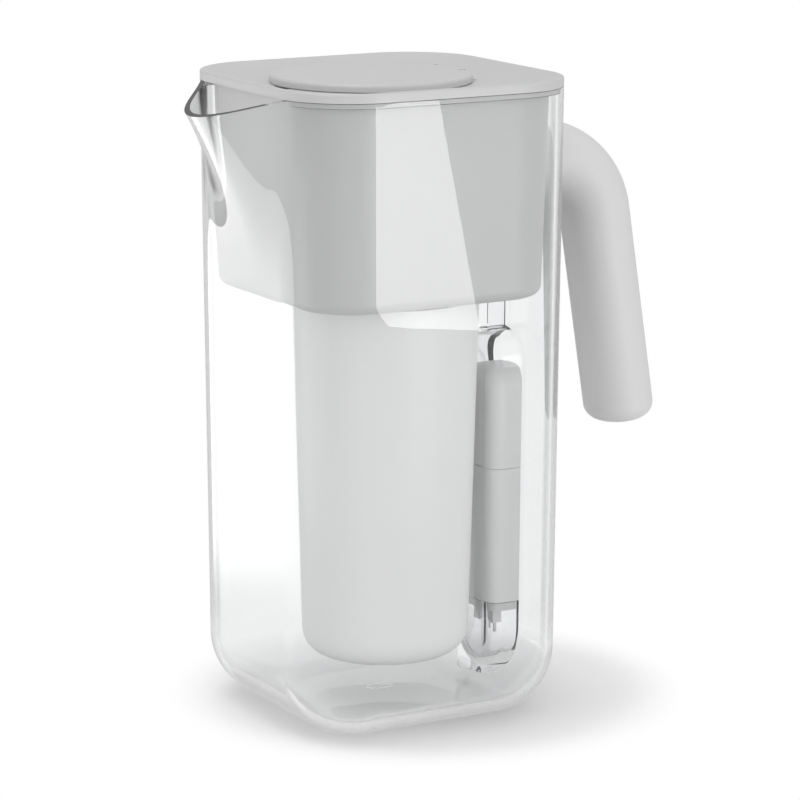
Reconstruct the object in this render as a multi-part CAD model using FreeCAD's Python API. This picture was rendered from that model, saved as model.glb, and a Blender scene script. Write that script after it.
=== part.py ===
"""Water filter pitcher: a clear tank with a pouring spout, a J handle, a lift-out
reservoir with a lid and fill door, a twist-in filter and a water meter in a niche.

Millimetres. The origin is the middle of the base on the table, +Z is up,
+X points to the handle and -X to the spout.
"""
import FreeCAD
import Part
import math
import os

Vector = FreeCAD.Vector
UP = Vector(0, 0, 1)
ALONG_X = Vector(1, 0, 0)
ALONG_Y = Vector(0, 1, 0)

# Shared clearances
RUN_GAP = 0.3          # between pieces that move past each other
SEAT_GAP = 0.2         # under a piece that rests on another
FIT_GAP = 0.1          # round a piece that is pushed into its seat
PIN_GAP = 0.04         # round the hinge pin
CUT_MARGIN = 2.0       # how far a cutting shape reaches past what it cuts
TOUCH = 0.01           # an edge this near to a plane lies in it

# Tank
TANK_RIM = 266.0       # height of the rim
BASE_SIDE = 124.3      # width of the square tank at the base, before rounding
RIM_SIDE = 127.8       # width at the rim
CORNER_RADIUS = 32.3   # upright corners
BASE_ROUND = 27.6      # round between walls and base
TANK_WALL = 3.0
TANK_FLOOR = 4.0
RIM_LIP = 1.4          # wall left outside the rim ledge

# Spout
SPOUT_DEPTH = 81.0     # height over which the spout swells out of the wall
SPOUT_REACH = 23.7     # from the wall to the tip of the lip
SPOUT_SIDE_GAP = 22.7  # from the side of the tank to the edge of the spout
LIP_DROP = 8.9         # tip of the lip below the rim
SPOUT_FLARE = 1.8      # power of the swelling along its height
SPOUT_CREST = 0.8      # power of the bell across its width
SPOUT_SECTIONS = 6
BELL_SPAN_COUNT = 8    # spans of the bell's curve between the corners
CORNER_SPAN_COUNT = 3  # spans of the bell's curve round each corner
SLOPE_STEP = 0.001     # share of a span over which an end slope is measured

# Handle
HANDLE_THICKNESS = 29.0
HANDLE_WIDTH = 34.0
HANDLE_WALL = 3.0
HANDLE_DROP = 35.0     # middle of the root below the rim
HANDLE_RUN = 11.3      # straight run from the wall to the bend
HANDLE_BEND = 31.0     # radius of the bend at the middle of the tube
HANDLE_LEG = 94.0      # straight leg below the bend
HANDLE_TILT = 9.0      # degrees that the leg leans away from the tank
HANDLE_END_ROUND = 6.5
SPIGOT_LENGTH = 10.0   # stub on the tank that fills the root of the handle
SCREW_RADIUS = 1.9
SCREW_HEAD_RADIUS = 3.3
SCREW_HEAD_HEIGHT = 1.8
SCREW_BITE = 9.0       # length of screw inside the spigot
SCREW_SPACING = 12.0

# Reservoir
TUB_ABOVE_NICHE = 23.6 # underside of the tub above the niche
TUB_INSET_TOP = 6.0    # tub behind the outside of the tank, at the top
TUB_INSET_BOTTOM = 8.0
TUB_WALL = 2.2
TUB_FLOOR = 3.0
TUB_ROUND = 4.5        # round between the tub's walls and floor
FLANGE_HEIGHT = 2.0

# Filter
FILTER_SHIFT = 1.0     # filter axis towards the handle
FILTER_NICHE_GAP = 2.7     # between the filter's top and the niche
FILTER_TAPER = 1.65    # degrees
FILTER_FOOT_GAP = 19.0     # below the filter, above the tank floor
FILTER_FOOT_ROUND = 11.0
FILTER_WALL = 1.8
SHOULDER_GAP = 3.0     # between filter cap and tub floor, filled by the gasket
CAP_RIM_HEIGHT = 2.8
CAP_SPIGOT = 4.0       # part of the cap inside the cup
SHOULDER_WIDTH = 11.1  # filter cap round the neck
NECK_WALL = 2.5
NECK_ABOVE_FLOOR = 7.0
LUG_REACH = 4.0
LUG_HEIGHT = 2.6
LUG_ANGLE = 26.0       # degrees
LUG_COUNT = 3
LOCK_TURN = 40.0       # degrees between open and locked
NOTCH_SPARE = 4.0      # degrees that a notch is wider than its lug
GASKET_WIDTH = 3.6
GASKET_GAP = 0.9       # gasket outside the bayonet notches
INLET_COUNT = 8
INLET_WIDTH = 3.0
INLET_START = 8.8      # plain middle inside the inlet slots
DRAIN_COUNT = 8
DRAIN_RADIUS = 1.8
DRAIN_CIRCLE = 12.0
SCREEN_HEIGHT = 1.5
FOAM_HEIGHT = 12.0
CARBON_HEIGHT = 34.0
MEMBRANE_HEIGHT = 3.0
LAYER_GAP = 0.1

# Lid
LID_EDGE = 3.8         # height of the lid's edge
LID_EDGE_ROUND = 0.8
DISH_RIM = 2.5         # flat rim round the dish
DISH_SLOPE = 12.0      # width of the curved side of the dish
DISH_DEPTH = 3.5
DISH_SECTIONS = 4
LID_PLATE = 4.0        # thickness under the dish
SKIRT_HEIGHT = 5.0
SKIRT_WALL = 2.0
LID_FIT = 0.5          # skirt inside the tub
DOOR_OVERLAP = 9.0     # door past the edge of the fill hole
SCOOP_RADIUS = 14.0    # finger scoop beside the door
SCOOP_DEPTH = 2.4

# Fill door
DOOR_MARGIN = 17.4     # lid beside the door, on the spout side
DOOR_SHIFT = -4.5      # door middle towards the spout
DOOR_EDGE_ROUND = 1.5
HINGE_INSET = 3.5      # hinge axis inside the door's outline
KNUCKLE_REACH = 2.2    # door past the hinge axis
PIN_RADIUS = 0.8
EAR_RADIUS = 1.5
EAR_WIDTH = 4.0
KNUCKLE_WIDTH = 16.0
SEAL_WIDTH = 3.0
SEAL_HEIGHT = 2.4

# Niche and water meter
NICHE_HALF_WIDTH = 14.5
NICHE_DEPTH = 16.15    # depth of the pocket where the wall is nearest
NICHE_FOOT = 9.5
NICHE_WALL = 2.2
NICHE_ROUND = 6.0      # round along the pocket's inner face
RIB_WIDTH = 1.4        # upright fin between the niche and the tub
RIB_DEPTH = 8.2
FINGER_GAP = 14.0      # above the meter
METER_SIDE_GAP = 0.7
METER_BACK_GAP = 0.4
METER_SETBACK = 0.6    # meter face behind the outside of the tank
METER_TOP_ROUND = 10.0
METER_WALL = 1.8
CAP_HEIGHT = 29.5      # clear probe cap
BODY_HEIGHT = 59.1     # main shell
COVER_HEIGHT = 43.5    # battery cover
SEAM_GAP = 0.2
TAB_HALF_WIDTH = 6.5   # latch tab on the battery cover
TAB_HEIGHT = 8.5
TAB_STEP = 0.8
HOLDER_BELOW = 4.0     # probe holder inside the cap
HOLDER_ABOVE = 6.5     # probe holder inside the meter
TONGUE_WIDTH = 12.0
TONGUE_THICKNESS = 5.0
TONGUE_LENGTH = 7.0
PROBE_RADIUS = 0.9
PROBE_LENGTH = 4.5
PROBE_SPACING = 7.0
BOARD_THICKNESS = 1.2
BOARD_GAP = 2.0        # beside the board, inside the shell
TRAY_THICKNESS = 1.6
CELL_COUNT = 2
CELL_RADIUS = 5.8
CELL_THICKNESS = 5.2
CELL_GAP = 0.6
LENS_SIDE = 6.3        # beside the display window
LENS_THICKNESS = 1.0
LENS_BELOW_SEAM = 9.0
LENS_BUTTON_GAP = 9.8  # between display panel and button
BUTTON_RADIUS = 4.6
BUTTON_PROUD = 1.0
BUTTON_ABOVE_SEAM = 13.0
BUTTON_FLANGE = 1.2
BUTTON_FLANGE_HEIGHT = 1.0
BUTTON_TRAVEL = 0.8
SWITCH_SIDE = 6.0
PANEL_MARGIN = 1.5     # display panel past the window on each side


def tank_half(z):
    """Half of the tank's outer width at height z: the walls lean out a little."""
    return (BASE_SIDE + (RIM_SIDE - BASE_SIDE) * z / TANK_RIM) / 2


# Heights and places that follow from the sizes above
SPOUT_START = TANK_RIM - SPOUT_DEPTH
SPOUT_HALF_WIDTH = RIM_SIDE / 2 - SPOUT_SIDE_GAP
LIP_TIP = TANK_RIM - LIP_DROP
LEDGE = TANK_RIM - FLANGE_HEIGHT - SEAT_GAP
HANDLE_ROOT = TANK_RIM - HANDLE_DROP
METER_FOOT = NICHE_FOOT + METER_BACK_GAP
METER_TOP = METER_FOOT + CAP_HEIGHT + BODY_HEIGHT + COVER_HEIGHT
NICHE_TOP = METER_TOP + FINGER_GAP
TUB_FOOT = NICHE_TOP + TUB_ABOVE_NICHE
TUB_TOP_OF_FLOOR = TUB_FOOT + TUB_FLOOR
FILTER_FOOT = TANK_FLOOR + FILTER_FOOT_GAP
CAP_TOP = TUB_FOOT - SHOULDER_GAP
CAP_FOOT = CAP_TOP - CAP_RIM_HEIGHT
LUG_FOOT = TUB_TOP_OF_FLOOR + RUN_GAP
NECK_TOP = TUB_TOP_OF_FLOOR + NECK_ABOVE_FLOOR
LID_FOOT = TANK_RIM + SEAT_GAP
LID_TOP = LID_FOOT + LID_EDGE
DISH_FLOOR = LID_TOP - DISH_DEPTH
PLATE_FOOT = DISH_FLOOR - LID_PLATE
DOOR_FOOT = DISH_FLOOR + RUN_GAP
DOOR_THICKNESS = LID_TOP - DOOR_FOOT
DOOR_RADIUS = RIM_SIDE / 2 - DOOR_MARGIN + DOOR_SHIFT
FILL_RADIUS = DOOR_RADIUS - DOOR_OVERLAP
HINGE_X = DOOR_SHIFT + DOOR_RADIUS - HINGE_INSET
HINGE_Z = DOOR_FOOT + DOOR_THICKNESS / 2
NICHE_BACK = min(tank_half(0), tank_half(NICHE_TOP)) - NICHE_DEPTH
METER_BACK = NICHE_BACK + METER_BACK_GAP
METER_HALF_WIDTH = NICHE_HALF_WIDTH - METER_SIDE_GAP
LOW_SEAM = METER_FOOT + CAP_HEIGHT
HIGH_SEAM = LOW_SEAM + BODY_HEIGHT
WIDEST_HALF = max(BASE_SIDE, RIM_SIDE) / 2
FILTER_TOP_RADIUS = NICHE_BACK - NICHE_WALL - FILTER_NICHE_GAP - FILTER_SHIFT
NECK_RADIUS = FILTER_TOP_RADIUS - SHOULDER_WIDTH
FILTER_AXIS = Vector(FILTER_SHIFT, 0, 0)
BOARD_WIDTH = 2 * (METER_HALF_WIDTH - METER_WALL - BOARD_GAP)
LENS_WIDTH = 2 * (METER_HALF_WIDTH - LENS_SIDE)
LENS_TOP = HIGH_SEAM - LENS_BELOW_SEAM
BUTTON_HEIGHT = LOW_SEAM + BUTTON_ABOVE_SEAM
LENS_FOOT = BUTTON_HEIGHT + BUTTON_RADIUS + BUTTON_FLANGE + LENS_BUTTON_GAP + PANEL_MARGIN


def turned(x, y, quarter, z):
    """Point (x, y, z) after some quarter turns about the upright axis."""
    for _ in range(quarter):
        x, y = -y, x
    return Vector(x, y, z)


def corner_mid(flat, radius):
    """Both coordinates of the middle of a corner arc."""
    return flat + radius * math.sqrt(0.5)


def square_wire(z, half, radius):
    """Square with round corners about the upright axis."""
    flat = half - radius
    mid = corner_mid(flat, radius)
    edges = []
    for quarter in range(4):
        side_end = turned(half, flat, quarter, z)
        edges.append(Part.makeLine(turned(half, -flat, quarter, z), side_end))
        corner = Part.Arc(side_end, turned(mid, mid, quarter, z), turned(flat, half, quarter, z))
        edges.append(corner.toShape())
    return Part.Wire(edges)


def square_loft(low, low_half, low_radius, high, high_half, high_radius):
    """Solid between two such squares."""
    wires = [square_wire(low, low_half, low_radius), square_wire(high, high_half, high_radius)]
    return Part.makeLoft(wires, True, True)


def square_prism(low, high, half, radius):
    """Upright block with round corners."""
    return square_loft(low, half, radius, high, half, radius)


def edges_at_height(shape, z):
    """Edges that lie wholly in the plane at height z."""
    return [edge for edge in shape.Edges
            if abs(edge.BoundBox.ZMin - z) < TOUCH and abs(edge.BoundBox.ZMax - z) < TOUCH]


def disc(radius, low, high, axis=FILTER_AXIS):
    """Upright cylinder between two heights."""
    return Part.makeCylinder(radius, high - low, axis + UP * low)


def ring(outer, inner, low, high, axis=FILTER_AXIS):
    """Upright tube between two heights."""
    bore = disc(inner, low - CUT_MARGIN, high + CUT_MARGIN, axis)
    return disc(outer, low, high, axis).cut(bore)


def block(x_low, x_high, y_half, z_low, z_high):
    """Box that is centred on the XZ plane."""
    corner = Vector(x_low, -y_half, z_low)
    return Part.makeBox(x_high - x_low, 2 * y_half, z_high - z_low, corner)


# Tank

def spout_swell(z):
    """How far the keel of the spout stands out of the wall at height z."""
    rise = max(0.0, (z - SPOUT_START) / (LIP_TIP - SPOUT_START))
    return SPOUT_REACH * rise ** SPOUT_FLARE


def front_x(y, z, inset):
    """X of the tank's spout side, moved in by the inset, at the given y and z."""
    flat = tank_half(z) - CORNER_RADIUS
    radius = CORNER_RADIUS - inset
    past_flat = max(0.0, abs(y) - flat)
    wall = flat + math.sqrt(radius ** 2 - past_flat ** 2)
    share = (1 + math.cos(math.pi * y / SPOUT_HALF_WIDTH)) / 2
    return -wall - spout_swell(z) * max(0.0, share) ** SPOUT_CREST


def front_edge(start, end, count, z, inset):
    """Smooth edge of the spout side from y = start to y = end through some points."""
    step = (end - start) / count
    tiny = step * SLOPE_STEP
    points = [Vector(front_x(start + i * step, z, inset), start + i * step, z)
              for i in range(count + 1)]
    tangents = []
    for y, inward in ((start, tiny), (end, -tiny)):
        slope = (front_x(y + inward, z, inset) - front_x(y, z, inset)) / inward
        tangents.append(Vector(slope * step, step, 0))
    curve = Part.BSplineCurve()
    curve.interpolate(Points=points, InitialTangent=tangents[0], FinalTangent=tangents[1])
    return curve.toShape()


def tank_section(z, inset):
    """Outline of the tank at height z with the spout's bell on its -X side."""
    half = tank_half(z) - inset
    radius = CORNER_RADIUS - inset
    flat = half - radius
    mid = corner_mid(flat, radius)
    edges = []
    for quarter in (0, 3):
        edges.append(Part.makeLine(turned(half, -flat, quarter, z), turned(half, flat, quarter, z)))
    edges.append(Part.makeLine(turned(half, -flat, 1, z), turned(half, flat, 1, z)))
    for quarter in (0, 3):
        arc = Part.Arc(turned(half, flat, quarter, z), turned(mid, mid, quarter, z),
                       turned(flat, half, quarter, z))
        edges.append(arc.toShape())
    reach = SPOUT_HALF_WIDTH - flat
    corner_end = flat + math.sqrt(radius ** 2 - reach ** 2)
    half_turn = math.acos(reach / radius) / 2
    corner_side = flat + radius * math.sin(half_turn)
    corner_out = flat + radius * math.cos(half_turn)
    for side in (1, -1):
        arc = Part.Arc(Vector(-flat, side * half, z), Vector(-corner_side, side * corner_out, z),
                       Vector(-corner_end, side * SPOUT_HALF_WIDTH, z))
        edges.append(arc.toShape())
    if spout_swell(z) > 0:
        edges.append(front_edge(SPOUT_HALF_WIDTH, flat, CORNER_SPAN_COUNT, z, inset))
        edges.append(front_edge(flat, -flat, BELL_SPAN_COUNT, z, inset))
        edges.append(front_edge(-flat, -SPOUT_HALF_WIDTH, CORNER_SPAN_COUNT, z, inset))
    else:
        edges.append(Part.makeLine(Vector(-half, flat, z), Vector(-half, -flat, z)))
        for side in (1, -1):
            y_mid = side * (SPOUT_HALF_WIDTH + flat) / 2
            arc = Part.Arc(Vector(-corner_end, side * SPOUT_HALF_WIDTH, z),
                           Vector(front_x(y_mid, z, inset), y_mid, z), Vector(-half, side * flat, z))
            edges.append(arc.toShape())
    return Part.Wire(Part.__sortEdges__(edges))


def tank_form(inset, foot, top):
    """Tank filled solid, moved in by the inset, from foot to top."""
    round_radius = BASE_ROUND - inset
    lower = square_loft(foot, tank_half(foot) - inset, CORNER_RADIUS - inset,
                        SPOUT_START, tank_half(SPOUT_START) - inset, CORNER_RADIUS - inset)
    lower = lower.makeFillet(round_radius, edges_at_height(lower, foot))
    step = (top - SPOUT_START) / SPOUT_SECTIONS
    sections = [tank_section(SPOUT_START + i * step, inset) for i in range(SPOUT_SECTIONS + 1)]
    return lower.fuse(Part.makeLoft(sections, True, False))


def niche_profile(half_width, foot, top, foot_radius, top_radius, x):
    """Upright slot outline in the plane at x, with round top and foot."""
    edges = []
    side_low = foot + foot_radius
    side_high = top - top_radius
    corners = ((1, top, top_radius, side_high), (-1, top, top_radius, side_high),
               (1, foot, foot_radius, side_low), (-1, foot, foot_radius, side_low))
    for side, end, radius, side_end in corners:
        inner = half_width - radius
        bow = radius * math.sqrt(0.5)
        sign = 1 if end > side_end else -1
        arc = Part.Arc(Vector(x, side * half_width, side_end),
                       Vector(x, side * (inner + bow), side_end + sign * bow),
                       Vector(x, side * inner, end))
        edges.append(arc.toShape())
        if side == 1 and inner > 0:
            edges.append(Part.makeLine(Vector(x, inner, end), Vector(x, -inner, end)))
    for side in (1, -1):
        edges.append(Part.makeLine(Vector(x, side * half_width, side_low),
                                   Vector(x, side * half_width, side_high)))
    return Part.Wire(Part.__sortEdges__(edges))


def slot_block(half_width, foot, top, foot_radius, top_radius, back, front, back_round):
    """Slot outline pushed from back to front along X, with its back edge rounded."""
    face = Part.Face(niche_profile(half_width, foot, top, foot_radius, top_radius, back))
    solid = face.extrude(ALONG_X * (front - back))
    back_edges = [edge for edge in solid.Edges if edge.BoundBox.XMax < back + TOUCH]
    return solid.makeFillet(back_round, back_edges)


def niche_pocket():
    """Hollow of the niche, open through the outside of the tank."""
    return slot_block(NICHE_HALF_WIDTH, NICHE_FOOT, NICHE_TOP, NICHE_HALF_WIDTH, NICHE_HALF_WIDTH,
                      NICHE_BACK, WIDEST_HALF + CUT_MARGIN, NICHE_ROUND)


def niche_walls(outside):
    """Walls round the niche, down to the floor, inside the tank."""
    half_width = NICHE_HALF_WIDTH + NICHE_WALL
    walls = slot_block(half_width, -half_width, NICHE_TOP + NICHE_WALL, half_width, half_width,
                       NICHE_BACK - NICHE_WALL, WIDEST_HALF + CUT_MARGIN, NICHE_ROUND + NICHE_WALL)
    return walls.common(outside)


def back_rib():
    """Upright fin on the inside of the back wall, from the niche to just under the tub."""
    inside = tank_half(NICHE_TOP) - TANK_WALL
    return block(inside - RIB_DEPTH, inside + TANK_WALL / 2, RIB_WIDTH / 2,
                 NICHE_TOP + NICHE_WALL / 2, TUB_FOOT - CUT_MARGIN)


def handle_section(inset, x):
    """Oval outline of the handle at its root."""
    wide = HANDLE_WIDTH / 2 - inset
    high = HANDLE_THICKNESS / 2 - inset
    middle = Vector(x, 0, HANDLE_ROOT)
    oval = Part.Ellipse(middle + ALONG_Y * wide, middle + UP * high, middle)
    return Part.Wire(oval.toShape())


def spigot():
    """Stub on the back wall that fills the root of the handle."""
    start = tank_half(HANDLE_ROOT) - TANK_WALL / 2
    end = tank_half(HANDLE_ROOT) + SPIGOT_LENGTH
    face = Part.Face(handle_section(HANDLE_WALL + FIT_GAP, start))
    return face.extrude(ALONG_X * (end - start))


def lip_wedge():
    """Everything above the sloping plane of the pouring lip."""
    start = -tank_half(TANK_RIM)
    stretch = 2
    far = start - SPOUT_REACH * stretch
    corners = [Vector(start, 0, TANK_RIM), Vector(far, 0, TANK_RIM - LIP_DROP * stretch),
               Vector(far, 0, TANK_RIM + LIP_DROP), Vector(start, 0, TANK_RIM + LIP_DROP)]
    face = Part.Face(Part.makePolygon(corners + corners[:1]))
    face.translate(ALONG_Y * -RIM_SIDE)
    return face.extrude(ALONG_Y * RIM_SIDE * 2)


def pitcher_body(outside):
    hollow = tank_form(TANK_WALL, TANK_FLOOR, TANK_RIM + CUT_MARGIN)
    ledge_half = tank_half(TANK_RIM) - RIM_LIP
    ledge = square_prism(LEDGE, TANK_RIM + CUT_MARGIN, ledge_half, CORNER_RADIUS - RIM_LIP)
    tank = outside.cut(hollow).cut(lip_wedge()).cut(ledge)
    tank = tank.fuse([niche_walls(outside), back_rib(), spigot()])
    tank = tank.cut(niche_pocket())
    for pilot in screw_cylinders(SCREW_RADIUS, screw_tip(), screw_tip() - SCREW_BITE - HANDLE_WALL):
        tank = tank.cut(pilot)
    return tank


# Handle

def handle_path(start_x, shorten):
    """Middle line of the handle: out of the wall, round the bend and down the leg."""
    tilt = math.radians(HANDLE_TILT)
    bend_x = tank_half(HANDLE_ROOT) + HANDLE_RUN
    middle = Vector(bend_x, 0, HANDLE_ROOT - HANDLE_BEND)
    half_way = (math.pi / 2 + tilt) / 2
    over = middle + Vector(math.cos(half_way), 0, math.sin(half_way)) * HANDLE_BEND
    leg_top = middle + Vector(math.cos(tilt), 0, math.sin(tilt)) * HANDLE_BEND
    leg_end = leg_top + Vector(math.sin(tilt), 0, -math.cos(tilt)) * (HANDLE_LEG - shorten)
    bend_top = Vector(bend_x, 0, HANDLE_ROOT)
    edges = [Part.makeLine(Vector(start_x, 0, HANDLE_ROOT), bend_top),
             Part.Arc(bend_top, over, leg_top).toShape(),
             Part.makeLine(leg_top, leg_end)]
    return Part.Wire(edges), leg_end


def handle_tube(inset, start_x, shorten, end_round):
    """Oval tube along the handle's middle line with a round end."""
    path, end = handle_path(start_x, shorten)
    tube = path.makePipeShell([handle_section(inset, start_x)], True, False)
    end_edges = [edge for edge in tube.Edges if edge.CenterOfMass.distanceToPoint(end) < HANDLE_WALL]
    return tube.makeFillet(end_round, end_edges)


def screw_tip():
    """Height of the tips of the handle screws."""
    return HANDLE_ROOT - HANDLE_THICKNESS / 2 + HANDLE_WALL + SCREW_BITE


def screw_cylinders(radius, high, low):
    """Upright cylinders at the two handle screws."""
    x = tank_half(HANDLE_ROOT) + SPIGOT_LENGTH / 2
    return [Part.makeCylinder(radius, high - low, Vector(x, side * SCREW_SPACING / 2, low))
            for side in (1, -1)]


def screw_seat():
    """Height of the faces that the screw heads press on, inside the handle's wall."""
    return HANDLE_ROOT - HANDLE_THICKNESS / 2 + HANDLE_WALL / 2 + SCREW_HEAD_HEIGHT / 2


def handle_shell(outside):
    start_x = tank_half(HANDLE_ROOT) - TANK_WALL / 2
    shell = handle_tube(0, start_x, 0, HANDLE_END_ROUND)
    core = handle_tube(HANDLE_WALL, start_x, HANDLE_WALL, HANDLE_END_ROUND - HANDLE_WALL / 2)
    shell = shell.cut(core).cut(outside)
    low = HANDLE_ROOT - HANDLE_THICKNESS
    for head in screw_cylinders(SCREW_HEAD_RADIUS + FIT_GAP, screw_seat(), low):
        shell = shell.cut(head)
    for shank in screw_cylinders(SCREW_RADIUS + FIT_GAP, HANDLE_ROOT, low):
        shell = shell.cut(shank)
    return shell


def handle_screws():
    heads = screw_cylinders(SCREW_HEAD_RADIUS, screw_seat(), screw_seat() - SCREW_HEAD_HEIGHT)
    shanks = screw_cylinders(SCREW_RADIUS, screw_tip(), screw_seat() - SCREW_HEAD_HEIGHT / 2)
    return Part.makeCompound([head.fuse(shank) for head, shank in zip(heads, shanks)])


# Reservoir

def tub_half(z, inset):
    """Half of the tub's width at height z, moved in by the inset."""
    share = (z - TUB_FOOT) / (LEDGE - TUB_FOOT)
    return tank_half(z) - tub_inset(share) - inset


def tub_inset(share):
    """Tub's distance behind the outside of the tank, from foot (0) to ledge (1)."""
    return TUB_INSET_BOTTOM + (TUB_INSET_TOP - TUB_INSET_BOTTOM) * share


def tub_form(inset, foot, top, round_radius):
    """Tub filled solid, moved in by the inset."""
    low_share = (foot - TUB_FOOT) / (LEDGE - TUB_FOOT)
    high_share = (top - TUB_FOOT) / (LEDGE - TUB_FOOT)
    solid = square_loft(foot, tub_half(foot, inset), CORNER_RADIUS - tub_inset(low_share) - inset,
                        top, tub_half(top, inset), CORNER_RADIUS - tub_inset(high_share) - inset)
    return solid.makeFillet(round_radius, edges_at_height(solid, foot))


def lug_sector(outer, angle, turn, low, high):
    """Wedge of a disc about the filter's axis, for one bayonet lug or notch."""
    sector = Part.makeCylinder(outer, high - low, FILTER_AXIS + UP * low, UP, angle)
    sector.rotate(FILTER_AXIS, UP, turn - angle / 2)
    return sector


def lug_turns():
    """Angles of the lugs about the filter's axis."""
    return [360.0 * i / LUG_COUNT for i in range(LUG_COUNT)]


def reservoir():
    body = tub_form(0, TUB_FOOT, TANK_RIM, TUB_ROUND)
    flange_inset = RIM_LIP + RUN_GAP
    flange = square_prism(TANK_RIM - FLANGE_HEIGHT, TANK_RIM,
                          tank_half(TANK_RIM) - flange_inset, CORNER_RADIUS - flange_inset)
    pour_gap = block(-RIM_SIDE, -tub_half(TANK_RIM, 0), SPOUT_HALF_WIDTH - RIM_LIP * 2,
                     TUB_FOOT, TANK_RIM + CUT_MARGIN)
    body = body.fuse(flange.cut(pour_gap))
    body = body.cut(tub_form(TUB_WALL, TUB_TOP_OF_FLOOR, TANK_RIM + CUT_MARGIN, TUB_ROUND - TUB_WALL))
    low = TUB_FOOT - CUT_MARGIN
    high = TUB_TOP_OF_FLOOR + CUT_MARGIN
    body = body.cut(disc(NECK_RADIUS + RUN_GAP, low, high))
    notch_angle = LUG_ANGLE + NOTCH_SPARE
    for turn in lug_turns():
        notch = lug_sector(NECK_RADIUS + LUG_REACH + RUN_GAP, notch_angle, turn - LOCK_TURN, low, high)
        body = body.cut(notch)
    return body


# Filter

def filter_radius(z):
    """Outer radius of the filter cup at height z."""
    return FILTER_TOP_RADIUS - (CAP_TOP - z) * math.tan(math.radians(FILTER_TAPER))


def cup_form(inset, foot, top):
    """Tapered cup filled solid with a round foot, moved in by the inset."""
    low = filter_radius(foot) - inset
    high = filter_radius(top) - inset
    cone = Part.makeCone(low, high, top - foot, FILTER_AXIS + UP * foot)
    return cone.makeFillet(FILTER_FOOT_ROUND - inset, edges_at_height(cone, foot))


def filter_shell():
    shell = cup_form(0, FILTER_FOOT, CAP_FOOT)
    shell = shell.cut(cup_form(FILTER_WALL, FILTER_FOOT + FILTER_WALL, CAP_FOOT + CUT_MARGIN))
    for i in range(DRAIN_COUNT):
        turn = 2 * math.pi * i / DRAIN_COUNT
        place = FILTER_AXIS + Vector(math.cos(turn), math.sin(turn), 0) * DRAIN_CIRCLE
        shell = shell.cut(disc(DRAIN_RADIUS, FILTER_FOOT - CUT_MARGIN,
                               FILTER_FOOT + FILTER_WALL + CUT_MARGIN, place))
    return shell


def filter_cap():
    spigot_radius = filter_radius(CAP_FOOT - CAP_SPIGOT) - FILTER_WALL - FIT_GAP
    cap = disc(FILTER_TOP_RADIUS, CAP_FOOT, CAP_TOP)
    cap = cap.fuse([disc(spigot_radius, CAP_FOOT - CAP_SPIGOT, CAP_FOOT),
                    disc(NECK_RADIUS, CAP_TOP, NECK_TOP)])
    for turn in lug_turns():
        cap = cap.fuse(lug_sector(NECK_RADIUS + LUG_REACH, LUG_ANGLE, turn, LUG_FOOT,
                                  LUG_FOOT + LUG_HEIGHT))
    bore = NECK_RADIUS - NECK_WALL
    cap = cap.cut(disc(bore, CAP_FOOT - CAP_SPIGOT - CUT_MARGIN, NECK_TOP - NECK_WALL))
    for i in range(INLET_COUNT):
        slot = Part.makeBox(bore - INLET_START - INLET_WIDTH, INLET_WIDTH, NECK_WALL + 2 * CUT_MARGIN,
                            FILTER_AXIS + Vector(INLET_START, -INLET_WIDTH / 2,
                                                 NECK_TOP - NECK_WALL - CUT_MARGIN))
        slot.rotate(FILTER_AXIS, UP, 360.0 * i / INLET_COUNT)
        cap = cap.cut(slot)
    return cap


def filter_gasket():
    inner = NECK_RADIUS + LUG_REACH + GASKET_GAP
    return ring(inner + GASKET_WIDTH, inner, CAP_TOP, TUB_FOOT - RUN_GAP)


def filter_layers():
    """Layers in the cup from the top down: screen, foam, carbon, resin and membrane."""
    inset = FILTER_WALL + LAYER_GAP
    top = CAP_FOOT - CAP_SPIGOT - LAYER_GAP
    foot = FILTER_FOOT + FILTER_WALL
    contents = cup_form(inset, foot, top)
    fixed = (SCREEN_HEIGHT, FOAM_HEIGHT, CARBON_HEIGHT, MEMBRANE_HEIGHT)
    resin_height = top - foot - sum(height + LAYER_GAP for height in fixed)
    heights = {"coarse_screen": SCREEN_HEIGHT, "foam_distributor": FOAM_HEIGHT,
               "carbon_bed": CARBON_HEIGHT, "resin_bed": resin_height, "fine_membrane": MEMBRANE_HEIGHT}
    layers = {}
    for name, height in heights.items():
        layers[name] = contents.common(disc(FILTER_TOP_RADIUS, top - height, top))
        top = top - height - LAYER_GAP
    return layers


# Lid and fill door

def dish():
    """Hollow in the lid's top with curved sides and a flat floor."""
    wires = []
    for i in range(DISH_SECTIONS):
        share = i / (DISH_SECTIONS - 1)
        inset = DISH_RIM + DISH_SLOPE * share
        z = LID_TOP - DISH_DEPTH * (1 - (1 - share) ** 2)
        wires.append(square_wire(z, tank_half(TANK_RIM) - inset, CORNER_RADIUS - inset))
    return Part.makeLoft(wires, True, False)


def cross_pin(radius, half_length):
    """Cylinder along the door's hinge axis."""
    return Part.makeCylinder(radius, 2 * half_length, Vector(HINGE_X, -half_length, HINGE_Z), ALONG_Y)


def pin_half_length():
    """Half of the hinge pin's length: the knuckle and both ears."""
    return KNUCKLE_WIDTH / 2 + RUN_GAP + EAR_WIDTH


def ear_spans(gap):
    """Y limits of the two hinge ears, grown by a gap on both sides."""
    near = KNUCKLE_WIDTH / 2 + RUN_GAP - gap
    far = pin_half_length() + gap
    return [(near, far), (-far, -near)]


def hinge_ear(start, end):
    """Upright ear with a round top, from y = start to y = end."""
    post = Part.makeBox(2 * EAR_RADIUS, end - start, HINGE_Z - PLATE_FOOT,
                        Vector(HINGE_X - EAR_RADIUS, start, PLATE_FOOT))
    top = Part.makeCylinder(EAR_RADIUS, end - start, Vector(HINGE_X, start, HINGE_Z), ALONG_Y)
    return post.fuse(top)


def swing_radius():
    """Distance from the hinge axis to the far edge of the door's knuckle."""
    return math.hypot(KNUCKLE_REACH, DOOR_THICKNESS / 2)


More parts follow.
